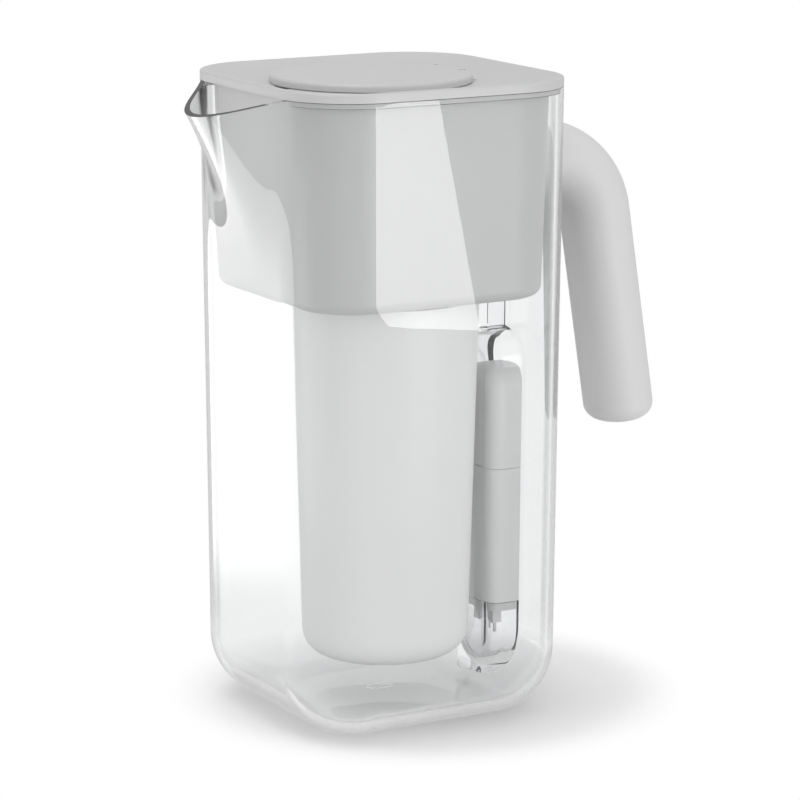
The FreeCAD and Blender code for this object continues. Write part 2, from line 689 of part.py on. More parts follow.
def lid_plate():
    half = tank_half(TANK_RIM)
    edge = square_prism(LID_FOOT, LID_TOP, half, CORNER_RADIUS)
    edge = edge.makeFillet(LID_EDGE_ROUND, edges_at_height(edge, LID_TOP))
    mouth = tub_half(TANK_RIM, TUB_WALL) - LID_FIT
    mouth_radius = CORNER_RADIUS - TUB_INSET_TOP - TUB_WALL - LID_FIT
    skirt_foot = PLATE_FOOT - SKIRT_HEIGHT
    plug = square_prism(skirt_foot, LID_FOOT, mouth, mouth_radius)
    under = square_prism(skirt_foot - CUT_MARGIN, PLATE_FOOT, mouth - SKIRT_WALL, mouth_radius - SKIRT_WALL)
    lid = edge.fuse(plug).cut(under).cut(dish())
    door_axis = Vector(DOOR_SHIFT, 0, 0)
    lid = lid.cut(disc(FILL_RADIUS, PLATE_FOOT - CUT_MARGIN, LID_TOP, door_axis))
    scoop_x = DOOR_SHIFT - DOOR_RADIUS - CUT_MARGIN
    lid = lid.cut(Part.makeSphere(SCOOP_RADIUS, Vector(scoop_x, 0, DISH_FLOOR + SCOOP_RADIUS - SCOOP_DEPTH)))
    trough_half = math.sqrt(DOOR_RADIUS ** 2 - (DOOR_RADIUS - HINGE_INSET) ** 2) + CUT_MARGIN
    lid = lid.cut(cross_pin(swing_radius() + RUN_GAP, trough_half))
    for start, end in ear_spans(0):
        lid = lid.fuse(hinge_ear(start, end))
    return lid.cut(cross_pin(PIN_RADIUS, pin_half_length() + CUT_MARGIN))


def door_hinge_pin():
    return cross_pin(PIN_RADIUS, pin_half_length())


def fill_door():
    door_axis = Vector(DOOR_SHIFT, 0, 0)
    door = disc(DOOR_RADIUS, DOOR_FOOT, LID_TOP, door_axis)
    door = door.makeFillet(DOOR_EDGE_ROUND, edges_at_height(door, LID_TOP))
    low = DOOR_FOOT - CUT_MARGIN
    high = LID_TOP + CUT_MARGIN
    door = door.cut(block(HINGE_X + KNUCKLE_REACH, HINGE_X + DOOR_RADIUS, DOOR_RADIUS, low, high))
    notch_start = HINGE_X - EAR_RADIUS - RUN_GAP
    for start, end in ear_spans(RUN_GAP):
        door = door.cut(Part.makeBox(DOOR_RADIUS, end - start, high - low,
                                     Vector(notch_start, start, low)))
    return door.cut(cross_pin(PIN_RADIUS + PIN_GAP, KNUCKLE_WIDTH / 2 + RUN_GAP))


def door_seal():
    outer = FILL_RADIUS - LID_FIT
    return ring(outer, outer - SEAL_WIDTH, DOOR_FOOT - SEAL_HEIGHT, DOOR_FOOT, Vector(DOOR_SHIFT, 0, 0))


# Water meter

def meter_form(inset):
    """Whole meter filled solid, moved in by the inset: a rounded bar that follows the tank."""
    half_width = METER_HALF_WIDTH - inset
    bar = slot_block(half_width, METER_FOOT + inset, METER_TOP - inset, half_width,
                     METER_TOP_ROUND - inset, METER_BACK + inset, WIDEST_HALF + CUT_MARGIN,
                     NICHE_ROUND - inset)
    setback = METER_SETBACK + inset
    limit = square_loft(setback, tank_half(setback) - setback, CORNER_RADIUS - setback,
                        TANK_RIM, tank_half(TANK_RIM) - setback, CORNER_RADIUS - setback)
    limit = limit.makeFillet(BASE_ROUND - setback, edges_at_height(limit, setback))
    return bar.common(limit)


def slab(low, high):
    """Everything between two heights, for cutting the meter across."""
    return block(0, RIM_SIDE, RIM_SIDE, low, high)


def meter_face(z):
    """X of the meter's outward face at height z."""
    return tank_half(z) - METER_SETBACK


def meter_middle():
    """X half way through the meter's thickness."""
    return (METER_BACK + meter_face(HIGH_SEAM)) / 2


def latch_tab():
    """Rounded tab outline on the inward face of the battery cover."""
    tab = block(METER_BACK - CUT_MARGIN, METER_BACK + TAB_STEP, TAB_HALF_WIDTH,
                HIGH_SEAM - CUT_MARGIN, HIGH_SEAM + TAB_HEIGHT)
    top_edges = [edge for edge in tab.Edges
                 if edge.BoundBox.ZMin > HIGH_SEAM and edge.BoundBox.YLength < TOUCH]
    return tab.makeFillet(TAB_HALF_WIDTH / 2, top_edges)


def lens_block(grow):
    """Display window from the outward face to the lens's depth, grown at its edges."""
    opening = block(meter_middle(), WIDEST_HALF + CUT_MARGIN, LENS_WIDTH / 2 + grow,
                    LENS_FOOT - grow, LENS_TOP + grow)
    return opening.cut(meter_form(LENS_THICKNESS))


def button_cylinder(radius, start, end):
    """Cylinder along X at the button, from start to end measured from the meter's face."""
    face = meter_face(BUTTON_HEIGHT)
    return Part.makeCylinder(radius, end - start, Vector(face + start, 0, BUTTON_HEIGHT), ALONG_X)


def meter_body(form, hollow):
    body = form.common(slab(LOW_SEAM + SEAM_GAP / 2, HIGH_SEAM - SEAM_GAP / 2)).cut(hollow)
    body = body.cut(lens_block(FIT_GAP))
    window = block(meter_middle(), WIDEST_HALF + CUT_MARGIN, LENS_WIDTH / 2 - METER_WALL,
                   LENS_FOOT + METER_WALL, LENS_TOP - METER_WALL)
    body = body.cut(window)
    return body.cut(button_cylinder(BUTTON_RADIUS + RUN_GAP, -2 * METER_WALL, CUT_MARGIN))


def battery_cover(form, hollow):
    cover = form.common(slab(HIGH_SEAM + SEAM_GAP / 2, METER_TOP + CUT_MARGIN)).cut(hollow)
    return cover.cut(latch_tab())


def meter_cap(form, hollow):
    return form.common(slab(METER_FOOT - CUT_MARGIN, LOW_SEAM - SEAM_GAP / 2)).cut(hollow)


def probe_holder(fit_form):
    plug = fit_form.common(slab(LOW_SEAM - HOLDER_BELOW, LOW_SEAM + HOLDER_ABOVE))
    middle = meter_middle()
    low = LOW_SEAM - HOLDER_BELOW - TONGUE_LENGTH
    tongue = block(middle - TONGUE_THICKNESS / 2, middle + TONGUE_THICKNESS / 2, TONGUE_WIDTH / 2,
                   low, LOW_SEAM)
    holder = plug.fuse(tongue)
    for pin in probe_cylinders():
        holder = holder.cut(pin)
    return holder


def probe_cylinders():
    """Two metal pins that run down through the probe holder."""
    low = LOW_SEAM - HOLDER_BELOW - TONGUE_LENGTH - PROBE_LENGTH
    return [Part.makeCylinder(PROBE_RADIUS, LOW_SEAM + HOLDER_ABOVE - low,
                              Vector(meter_middle(), side * PROBE_SPACING / 2, low))
            for side in (1, -1)]


def circuit_board():
    """Board from the probe holder up to the battery tray."""
    return block(tray_back(), board_front(), BOARD_WIDTH / 2, LOW_SEAM + HOLDER_ABOVE, HIGH_SEAM)


def tray_back():
    """X of the inward face of the battery tray."""
    return METER_BACK + METER_WALL + CELL_THICKNESS


def battery_tray():
    """Plate above the circuit board that carries the cells on its inward face."""
    return block(tray_back(), tray_back() + TRAY_THICKNESS, BOARD_WIDTH / 2,
                 HIGH_SEAM, METER_TOP - METER_WALL - CELL_RADIUS)


def battery_cells():
    """Coin cells one above the other on the tray."""
    cells = []
    for i in range(CELL_COUNT):
        z = HIGH_SEAM + CELL_GAP + CELL_RADIUS + i * (2 * CELL_RADIUS + CELL_GAP)
        start = tray_back() - CELL_THICKNESS
        cells.append(Part.makeCylinder(CELL_RADIUS, CELL_THICKNESS, Vector(start, 0, z), ALONG_X))
    return Part.makeCompound(cells)


def display_lens(form):
    return lens_block(0).common(form)


def meter_button():
    cap = button_cylinder(BUTTON_RADIUS, -METER_WALL - BUTTON_FLANGE_HEIGHT - RUN_GAP, BUTTON_PROUD)
    flange = button_cylinder(BUTTON_RADIUS + BUTTON_FLANGE,
                             -METER_WALL - RUN_GAP - BUTTON_FLANGE_HEIGHT, -METER_WALL - RUN_GAP)
    return cap.fuse(flange)


def board_front():
    """X of the outward face of the circuit board."""
    return tray_back() + BOARD_THICKNESS


def press_switch():
    """Small switch on the board behind the button."""
    button_back = meter_face(BUTTON_HEIGHT) - METER_WALL - RUN_GAP - BUTTON_FLANGE_HEIGHT
    return block(board_front(), button_back - BUTTON_TRAVEL - FIT_GAP, SWITCH_SIDE / 2,
                 BUTTON_HEIGHT - SWITCH_SIDE / 2, BUTTON_HEIGHT + SWITCH_SIDE / 2)


def display_panel():
    """Display between the board and the window frame."""
    front = min(meter_face(LENS_FOOT), meter_face(LENS_TOP)) - METER_WALL - FIT_GAP
    return block(board_front(), front, LENS_WIDTH / 2 + PANEL_MARGIN,
                 LENS_FOOT - PANEL_MARGIN, LENS_TOP + PANEL_MARGIN)


def build():
    """All pieces by name."""
    outside = tank_form(0, 0, TANK_RIM)
    form = meter_form(0)
    hollow = meter_form(METER_WALL)
    pieces = {
        "pitcher_body": pitcher_body(outside),
        "handle_shell": handle_shell(outside),
        "handle_screws": handle_screws(),
        "reservoir": reservoir(),
        "lid_plate": lid_plate(),
        "door_hinge_pin": door_hinge_pin(),
        "fill_door": fill_door(),
        "door_seal": door_seal(),
        "filter_shell": filter_shell(),
        "filter_cap": filter_cap(),
        "filter_gasket": filter_gasket(),
        "meter_body": meter_body(form, hollow),
        "battery_cover": battery_cover(form, hollow),
        "meter_cap": meter_cap(form, hollow),
        "probe_holder": probe_holder(meter_form(METER_WALL + FIT_GAP)),
        "probe_pins": Part.makeCompound(probe_cylinders()),
        "circuit_board": circuit_board(),
        "battery_tray": battery_tray(),
        "battery_cells": battery_cells(),
        "display_lens": display_lens(form),
        "display_panel": display_panel(),
        "press_switch": press_switch(),
        "meter_button": meter_button(),
    }
    pieces.update(filter_layers())
    return pieces


def main():
    os.makedirs("parts", exist_ok=True)
    for name, shape in build().items():
        solids = shape.Solids
        print(name, "solids", len(solids), "valid", shape.isValid(), "volume", round(shape.Volume))
        shape = solids[0] if len(solids) == 1 else Part.makeCompound(solids)
        shape.exportStep("parts/" + name + ".step")


main()
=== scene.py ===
"""Water filter pitcher: finishes, small turned and woven parts and a pale studio.

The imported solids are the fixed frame. Their nodes get procedural finishes, a few of them are
replaced by finer meshes, and a stage with floor, soft lights and camera is set round them.
Metres, +Z up, +X to the handle, -X to the spout.
"""
import math

import bmesh
import bpy
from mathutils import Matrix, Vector


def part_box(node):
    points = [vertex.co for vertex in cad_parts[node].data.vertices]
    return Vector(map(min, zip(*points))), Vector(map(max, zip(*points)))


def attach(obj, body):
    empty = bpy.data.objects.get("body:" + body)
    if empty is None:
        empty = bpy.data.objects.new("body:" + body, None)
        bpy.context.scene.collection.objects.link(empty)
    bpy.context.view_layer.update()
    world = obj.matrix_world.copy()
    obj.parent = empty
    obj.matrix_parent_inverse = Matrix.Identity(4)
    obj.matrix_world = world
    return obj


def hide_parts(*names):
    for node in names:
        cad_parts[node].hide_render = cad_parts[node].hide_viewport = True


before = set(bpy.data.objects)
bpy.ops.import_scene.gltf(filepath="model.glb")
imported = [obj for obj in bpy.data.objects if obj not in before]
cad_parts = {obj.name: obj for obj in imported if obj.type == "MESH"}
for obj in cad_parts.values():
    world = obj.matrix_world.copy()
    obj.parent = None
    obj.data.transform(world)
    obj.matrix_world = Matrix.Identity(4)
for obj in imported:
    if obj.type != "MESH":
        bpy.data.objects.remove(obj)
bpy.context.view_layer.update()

bl_info = {
    "name": "Water filter pitcher",
    "version": (1, 0, 0),
    "blender": (4, 5, 0),
    "location": "3D View > Sidebar > Pitcher",
    "description": "Finishes, small parts and studio for a water filter pitcher",
    "category": "Object",
}

MM = 0.001

# How far a cutting form reaches past what it cuts
CUT_MARGIN = 2.0 * MM

# Colours that no setting changes, in linear light
TANK_COLOUR = (0.945, 0.95, 0.952)
CAP_COLOUR = (0.97, 0.975, 0.98)
BOARD_COLOUR = (0.01, 0.06, 0.025)
DISPLAY_COLOUR = (0.03, 0.034, 0.034)

# Layers in the filter: node, material, colour, cells per metre, spread of tone, depth of relief
FILTER_LAYERS = (
    ("coarse_screen", "screen_wire", (0.75, 0.75, 0.73), 1200.0, 0.4, 0.1 * MM),
    ("foam_distributor", "foam_open", (0.05, 0.055, 0.06), 700.0, 0.9, 0.4 * MM),
    ("carbon_bed", "carbon_grains", (0.01, 0.01, 0.011), 900.0, 0.8, 0.5 * MM),
    ("resin_bed", "resin_beads", (0.42, 0.19, 0.03), 1100.0, 0.7, 0.4 * MM),
    ("fine_membrane", "membrane_felt", (0.8, 0.8, 0.77), 2500.0, 0.2, 0.1 * MM),
)

# Softboxes: name, setting of the power, place, side in metres
SOFTBOXES = (
    ("key_softbox", "key_power", (0.6, -1.5, 0.55), 0.9),
    ("fill_softbox", "fill_power", (-1.45, -0.3, 0.6), 0.9),
    ("front_softbox", "front_power", (-0.75, -1.2, 0.45), 0.6),
    ("top_softbox", "top_power", (-0.35, 0.1, 1.5), 0.5),
)
SOFTBOX_AIM = Vector((0, 0, 0.14))

# Cards that the walls mirror: one stands in front, the other lies just above the floor at the left
FRONT_CARD_Y = -0.45
FRONT_CARD_XZ = ((0.017, 0.209), (0.216, 0.204), (0.243, 0.078), (0.017, 0.105))
LEFT_CARD_Z = 0.001
LEFT_CARD_XY = ((-0.345, 0.07), (-1.25, 0.66), (-1.25, 2.0), (-0.48, 2.0), (-0.066, 0.07), (-0.07, -0.02))

# Distances between which a card comes up to full strength and the floor to white
CARD_FADE = (0.2, 0.36)
FLOOR_FADE = (0.08, 0.115)
FLOOR_SHADE_MIDDLE = (0.025, 0.005, 0)

# Camera at the photograph's viewing angle: metres, degrees, shares of the picture's width
CAMERA_PLACE = (-0.69796, -1.24867, 0.43912)
CAMERA_TURN = (77.811, 0, -29.2035)
CAMERA_SHIFT = (0.02447, 0.00342)
SENSOR_WIDTH_MM = 36.0


def middle(node):
    """Middle of a node's box."""
    low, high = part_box(node)
    return (low + high) / 2


def colour_property(name, description, default):
    """Colour that a user can change, in linear light."""
    return bpy.props.FloatVectorProperty(name=name, description=description, default=default, size=3,
                                         subtype="COLOR", min=0.0, max=1.0)


def length_property(name, description, default):
    """Length in metres."""
    return bpy.props.FloatProperty(name=name, description=description, default=default, min=0.0,
                                   subtype="DISTANCE", unit="LENGTH", precision=5)


def level_property(name, description, default, lowest=0.0):
    """Plain number with a lowest value."""
    return bpy.props.FloatProperty(name=name, description=description, default=default, min=lowest)


class PitcherFinish(bpy.types.PropertyGroup):
    """Colours and gloss of the mouldings."""
    handle: colour_property("Handle", "Matte handle", (0.69, 0.69, 0.695))
    lid: colour_property("Lid", "Satin lid and fill door", (0.58, 0.58, 0.585))
    tub: colour_property("Reservoir", "Satin reservoir", (0.57, 0.57, 0.575))
    filter: colour_property("Filter", "Satin filter cup", (0.85, 0.85, 0.85))
    meter: colour_property("Meter", "Meter shells", (0.88, 0.88, 0.88))
    button: colour_property("Button", "Meter button", (0.42, 0.44, 0.47))
    seal: colour_property("Seal", "Silicone seals", (0.60, 0.61, 0.62))
    steel: colour_property("Steel", "Screws, pins and cells", (0.62, 0.63, 0.64))
    clear_ior: bpy.props.FloatProperty(name="Clear IOR", description="Refraction of the clear tank",
                                       default=1.42, min=1.0, max=2.0)


class PitcherTank(bpy.types.PropertyGroup):
    """Sizes of the clear tank."""
    rim: length_property("Rim", "Height of the rim", 266.0 * MM)
    base_side: length_property("Base side", "Width at the base before rounding", 124.3 * MM)
    rim_side: length_property("Rim side", "Width at the rim", 127.8 * MM)
    corner: length_property("Corner", "Radius of the upright corners", 32.3 * MM)
    base_round: length_property("Base round", "Round between walls and base", 27.6 * MM)
    wall: length_property("Wall", "Wall thickness", 3.0 * MM)
    floor: length_property("Floor", "Floor thickness", 4.0 * MM)
    ledge_lip: length_property("Ledge lip", "Wall left outside the rim ledge", 1.4 * MM)
    ledge_depth: length_property("Ledge depth", "Depth of the rim ledge", 2.2 * MM)
    spout_depth: length_property("Spout depth", "Height over which the spout swells", 81.0 * MM)
    spout_reach: length_property("Spout reach", "From the wall to the tip of the lip", 23.7 * MM)
    spout_half: length_property("Spout half", "Half of the spout's width", 41.2 * MM)
    lip_drop: length_property("Lip drop", "Tip of the lip below the rim", 8.9 * MM)
    spout_flare: level_property("Spout flare", "Power of the swelling upwards", 1.8, lowest=1.0)
    spout_crest: level_property("Spout crest", "Power of the bell across the spout", 0.8, lowest=0.5)
    niche_half: length_property("Niche half", "Half of the meter niche's width", 14.5 * MM)
    niche_foot: length_property("Niche foot", "Height of the niche's foot", 9.5 * MM)
    niche_top: length_property("Niche top", "Height of the niche's top", 156.0 * MM)
    niche_back: length_property("Niche back", "Inner face of the niche along X", 46.0 * MM)
    niche_wall: length_property("Niche wall", "Walls round the niche", 2.2 * MM)
    niche_round: length_property("Niche round", "Round along the niche's inner face", 6.0 * MM)
    fin_width: length_property("Fin width", "Upright fin above the niche", 1.4 * MM)
    fin_depth: length_property("Fin depth", "Depth of that fin", 8.2 * MM)
    fin_top: length_property("Fin top", "Height of the fin's top", 177.6 * MM)
    spigot_height: length_property("Spigot height", "Middle of the handle's root", 231.0 * MM)
    spigot_length: length_property("Spigot length", "Stub inside the handle", 10.0 * MM)
    spigot_wide: length_property("Spigot wide", "Half width of that stub", 13.9 * MM)
    spigot_high: length_property("Spigot high", "Half height of that stub", 11.4 * MM)


class PitcherDetail(bpy.types.PropertyGroup):
    """Sizes of the small parts."""
    recess_width: length_property("Recess width", "Arm width of the screw recess", 0.9 * MM)
    recess_depth: length_property("Recess depth", "Depth of the screw recess", 0.9 * MM)
    thread_pitch: length_property("Thread pitch", "Pitch of the screw threads", 1.2 * MM)
    wire_pitch: length_property("Wire pitch", "Distance between wires of the coarse screen", 1.5 * MM)
    wire_radius: length_property("Wire radius", "Radius of those wires", 0.22 * MM)
    frame_radius: length_property("Frame radius", "Radius of the screen's round frame wire", 0.7 * MM)
    gate_radius: length_property("Gate radius", "Radius of the gate ring on the tank floor", 5.0 * MM)
    gate_bead: length_property("Gate bead", "Radius of that ring's bead", 0.35 * MM)


class PitcherStage(bpy.types.PropertyGroup):
    """Studio round the pitcher."""
    ambient: level_property("Ambient", "Even light from all round", 0.68)
    mirrored: level_property("Mirrored", "White of the room in reflections", 0.65)
    floor_lift: level_property("Floor lift", "Glow that takes the lit floor to white", 0.15)
    key_power: level_property("Key", "Softbox at the front right, in watts", 5.0)
    fill_power: level_property("Fill", "Softbox at the left, in watts", 0.5)
    front_power: level_property("Front", "Softbox beside the camera, in watts", 1.4)
    top_power: level_property("Top", "Softbox overhead, in watts", 4.2)
    front_card: level_property("Front card", "White card mirrored in the front wall", 7.8)
    left_card: level_property("Left card", "White sweep mirrored in the spout wall", 3.4)
    lens: level_property("Lens", "Focal length in millimetres", 156.135, lowest=10.0)


# Shader groups

def new_group(name, inputs, outputs):
    """Empty shader group with named sockets; returns its tree and its two end nodes."""
    tree = bpy.data.node_groups.new(name, "ShaderNodeTree")
    kinds = {"colour": "NodeSocketColor", "value": "NodeSocketFloat"}
    for label, kind, default in inputs:
        socket = tree.interface.new_socket(label, in_out="INPUT", socket_type=kinds[kind])
        socket.default_value = default
    for label, kind in outputs:
        tree.interface.new_socket(label, in_out="OUTPUT", socket_type=kinds[kind])
    return tree, tree.nodes.new("NodeGroupInput"), tree.nodes.new("NodeGroupOutput")


def math_node(tree, operation, first, second):
    """Math node whose inputs are sockets or numbers; returns its output."""
    node = tree.nodes.new("ShaderNodeMath")
    node.operation = operation
    for socket, value in zip(node.inputs, (first, second)):
        if isinstance(value, (int, float)):
            socket.default_value = value
        else:
            tree.links.new(value, socket)
    return node.outputs[0]


def add_node(tree, kind, values):
    """New node with named inputs, each given as a value or as a socket to link."""
    node = tree.nodes.new(kind)
    for label, value in values.items():
        if isinstance(value, bpy.types.NodeSocket):
            tree.links.new(value, node.inputs[label])
        else:
            node.inputs[label].default_value = value
    return node


def object_coordinates(tree, stretch=(1.0, 1.0, 1.0)):
    """Object coordinates, stretched along the axes."""
    place = tree.nodes.new("ShaderNodeTexCoord").outputs["Object"]
    return add_node(tree, "ShaderNodeMapping", {"Vector": place, "Scale": stretch}).outputs["Vector"]


def noise(tree, vector, scale, detail):
    """Noise texture; returns its value, from 0 to 1 about a half."""
    values = {"Vector": vector, "Scale": scale, "Detail": detail}
    return add_node(tree, "ShaderNodeTexNoise", values).outputs["Fac"]


def shaded(tree, colour, share):
    """Colour times a share."""
    node = tree.nodes.new("ShaderNodeVectorMath")
    node.operation = "SCALE"
    tree.links.new(colour, node.inputs[0])
    tree.links.new(share, node.inputs["Scale"])
    return node.outputs[0]


def ranged(tree, value, start, end, low, high):
    """Value from start to end mapped to low to high; returns the output."""
    values = {"Value": value, "From Min": start, "From Max": end, "To Min": low, "To Max": high}
    return add_node(tree, "ShaderNodeMapRange", values).outputs["Result"]


def spread_about(tree, base, wave, spread):
    """base + (wave - 0.5) * spread."""
    centred = math_node(tree, "SUBTRACT", wave, 0.5)
    return math_node(tree, "ADD", base, math_node(tree, "MULTIPLY", centred, spread))


def mould_grain_group():
    """Fine moulded grain: a slow drift of tone, uneven gloss and a fine height."""
    tree, ins, outs = new_group(
        "mould_grain",
        [("Color", "colour", (0.8, 0.8, 0.8, 1)), ("Tone", "value", 0.03), ("Grain", "value", 2500.0),
         ("Roughness", "value", 0.4), ("Spread", "value", 0.1)],
        [("Color", "colour"), ("Roughness", "value"), ("Height", "value")])
    place = object_coordinates(tree)
    drift = noise(tree, place, scale=18.0, detail=2.0)
    grain = noise(tree, place, scale=ins.outputs["Grain"], detail=3.0)
    share = spread_about(tree, 1.0, drift, ins.outputs["Tone"])
    tree.links.new(shaded(tree, ins.outputs["Color"], share), outs.inputs["Color"])
    gloss = spread_about(tree, ins.outputs["Roughness"], grain, ins.outputs["Spread"])
    tree.links.new(gloss, outs.inputs["Roughness"])
    tree.links.new(grain, outs.inputs["Height"])
    return tree


def brushed_group():
    """Fine lines across the upright axis, for turned metal."""
    tree, ins, outs = new_group(
        "brushed_lines",
        [("Color", "colour", (0.6, 0.6, 0.6, 1)), ("Roughness", "value", 0.25)],
        [("Color", "colour"), ("Roughness", "value"), ("Height", "value")])
    flattened = (1.0, 1.0, 6.0)
    tone_spread = 0.25
    gloss_spread = 0.2
    lines = noise(tree, object_coordinates(tree, flattened), scale=900.0, detail=4.0)
    share = spread_about(tree, 1.0, lines, tone_spread)
    tree.links.new(shaded(tree, ins.outputs["Color"], share), outs.inputs["Color"])
    gloss = spread_about(tree, ins.outputs["Roughness"], lines, gloss_spread)
    tree.links.new(gloss, outs.inputs["Roughness"])
    tree.links.new(lines, outs.inputs["Height"])
    return tree


def packed_grains_group():
    """Cells of packed granules, beads or open foam."""
    tree, ins, outs = new_group(
        "packed_grains",
        [("Color", "colour", (0.5, 0.5, 0.5, 1)), ("Scale", "value", 900.0), ("Tone", "value", 0.5)],
        [("Color", "colour"), ("Height", "value")])
    cells = add_node(tree, "ShaderNodeTexVoronoi", {"Vector": object_coordinates(tree),
                                                    "Scale": ins.outputs["Scale"]})
    share = spread_about(tree, 1.0, cells.outputs["Distance"], ins.outputs["Tone"])
    tree.links.new(shaded(tree, ins.outputs["Color"], share), outs.inputs["Color"])
    tree.links.new(math_node(tree, "SUBTRACT", 1.0, cells.outputs["Distance"]), outs.inputs["Height"])
    return tree


def shared_group(maker, name):
    """Shader group by name, made on first use."""
    return bpy.data.node_groups.get(name) or maker()


# Materials

def new_material(name):
    """Material with its Principled shader."""
    material = bpy.data.materials.new(name)
    material.use_nodes = True
    return material, material.node_tree, material.node_tree.nodes["Principled BSDF"]


def place_group(tree, group, values):
    """Group node with its inputs set."""
    node = tree.nodes.new("ShaderNodeGroup")
    node.node_tree = group
    for label, value in values.items():
        node.inputs[label].default_value = (*value, 1.0) if hasattr(value, "__len__") else value
    return node


def bumped(tree, shader, height, depth):
    """Bump of the given depth in metres on the shader's normal."""
    bump = add_node(tree, "ShaderNodeBump", {"Strength": 1.0, "Distance": depth, "Height": height})
    tree.links.new(bump.outputs["Normal"], shader.inputs["Normal"])


def show_mix(tree, share, first, second):
    """Surface that goes from the first shader node to the second one as the share goes from 0 to 1."""
    mix = tree.nodes.new("ShaderNodeMixShader")
    for socket, value in zip(mix.inputs, (share, first.outputs[0], second.outputs[0])):
        tree.links.new(value, socket)
    tree.links.new(mix.outputs[0], tree.nodes["Material Output"].inputs["Surface"])


def moulded(name, colour, roughness, spread=0.08, tone=0.04, grain=2500.0, depth=0.01 * MM, scatter=0.0):
    """Opaque moulded plastic with its grain."""
    scatter_reach = 1.5 * MM
    material, tree, shader = new_material(name)
    group = place_group(tree, shared_group(mould_grain_group, "mould_grain"),
                        {"Color": colour, "Tone": tone, "Grain": grain, "Roughness": roughness,
                         "Spread": spread})
    tree.links.new(group.outputs["Color"], shader.inputs["Base Color"])
    tree.links.new(group.outputs["Roughness"], shader.inputs["Roughness"])
    bumped(tree, shader, group.outputs["Height"], depth)
    shader.inputs["Subsurface Weight"].default_value = scatter
    shader.inputs["Subsurface Radius"].default_value = (scatter_reach, scatter_reach, scatter_reach)
    return material


def metal(name, colour, roughness):
    """Bright metal with turned lines."""
    line_depth = 0.005 * MM
    material, tree, shader = new_material(name)
    group = place_group(tree, shared_group(brushed_group, "brushed_lines"),
                        {"Color": colour, "Roughness": roughness})
    tree.links.new(group.outputs["Color"], shader.inputs["Base Color"])
    tree.links.new(group.outputs["Roughness"], shader.inputs["Roughness"])
    bumped(tree, shader, group.outputs["Height"], line_depth)
    shader.inputs["Metallic"].default_value = 1.0
    return material


def packed(name, colour, scale, tone, depth):
    """Granules, beads, foam or felt."""
    material, tree, shader = new_material(name)
    group = place_group(tree, shared_group(packed_grains_group, "packed_grains"),
                        {"Color": colour, "Scale": scale, "Tone": tone})
    tree.links.new(group.outputs["Color"], shader.inputs["Base Color"])
    bumped(tree, shader, group.outputs["Height"], depth)
    shader.inputs["Roughness"].default_value = 0.9
    return material


def clear(name, colour, ior, roughness, base_height=0.0):
    """Clear moulded plastic that soft light passes, as do rays caught in its base round; its colour
    carries a painted shade where a wall is seen edge-on.
    """
    edge_start = 0.4
    wall_edge_end = 0.48
    wall_edge_dark = 0.5
    base_edge_dark = 0.4
    light_kept = 0.985
    light_kept_at_edge = 0.68
    caught_depth = 3.5
    material, tree, shader = new_material(name)
    group = place_group(tree, shared_group(mould_grain_group, "mould_grain"),
                        {"Color": colour, "Tone": 0.01, "Grain": 60.0, "Roughness": roughness,
                         "Spread": roughness})
    facing = add_node(tree, "ShaderNodeLayerWeight", {"Blend": 0.3}).outputs["Facing"]
    parts = add_node(tree, "ShaderNodeSeparateXYZ", {"Vector": object_coordinates(tree)})
    height = parts.outputs["Z"]
    above_base = ranged(tree, height, 0.5 * base_height, 1.5 * base_height, 0.0, 1.0)
    # Painted shade: the colour darkens where the surface is seen edge-on, gently everywhere and more
    # steeply on the walls above the base round
    wall_edge_shade = ranged(tree, facing, edge_start, wall_edge_end, 0.0, wall_edge_dark)
    base_edge_shade = ranged(tree, facing, edge_start, 1.0, 0.0, base_edge_dark)
    edge_shade = math_node(tree, "MAXIMUM", math_node(tree, "MULTIPLY", wall_edge_shade, above_base), base_edge_shade)
    share = math_node(tree, "SUBTRACT", 1.0, edge_shade)
    tree.links.new(shaded(tree, group.outputs["Color"], share), shader.inputs["Base Color"])
    tree.links.new(group.outputs["Roughness"], shader.inputs["Roughness"])
    shader.inputs["Transmission Weight"].default_value = 1.0
    shader.inputs["IOR"].default_value = ior
    path = tree.nodes.new("ShaderNodeLightPath")
    soft = math_node(tree, "MAXIMUM", path.outputs["Is Shadow Ray"], path.outputs["Is Diffuse Ray"])
    caught = math_node(tree, "GREATER_THAN", path.outputs["Ray Depth"], caught_depth)
    in_base = math_node(tree, "LESS_THAN", height, base_height)
    passing = math_node(tree, "MAXIMUM", soft, math_node(tree, "MULTIPLY", caught, in_base))
    kept = ranged(tree, facing, 0.0, 1.0, light_kept, light_kept_at_edge)
    through = add_node(tree, "ShaderNodeBsdfTransparent", {"Color": kept})
    show_mix(tree, passing, shader, through)
    return material


def dress(material, *nodes):
    """Gives CAD nodes a material."""
    for node in nodes:
        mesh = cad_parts[node].data
        mesh.materials.clear()
        mesh.materials.append(material)


# Meshes

def smooth(mesh, angle):
    """Smooth except at edges sharper than the angle."""
    mesh.shade_smooth()
    mesh.set_sharp_from_angle(angle=math.radians(angle))


def mesh_piece(name, build, material=None):
    """New piece from a bmesh builder, smooth except at its sharper edges."""
    mesh = bpy.data.meshes.new(name)
    shape = bmesh.new()
    build(shape)
    bmesh.ops.remove_doubles(shape, verts=shape.verts, dist=1e-6)
    bmesh.ops.recalc_face_normals(shape, faces=shape.faces)
    shape.to_mesh(mesh)
    shape.free()
    if material:
        mesh.materials.append(material)
    smooth(mesh, angle=40.0)
    piece = bpy.data.objects.new(name, mesh)
    bpy.context.scene.collection.objects.link(piece)
    return piece


def turn_profile(shape, profile, steps, centre):
    """Turns (radius, height) points round the upright axis at centre; ends at radius 0 close the form."""
    points = [shape.verts.new(centre + Vector((radius, 0, height))) for radius, height in profile]
    edges = [shape.edges.new(pair) for pair in zip(points, points[1:])]
    bmesh.ops.spin(shape, geom=points + edges, cent=centre, axis=Vector((0, 0, 1)), angle=2 * math.pi,
                   steps=steps, use_merge=True)


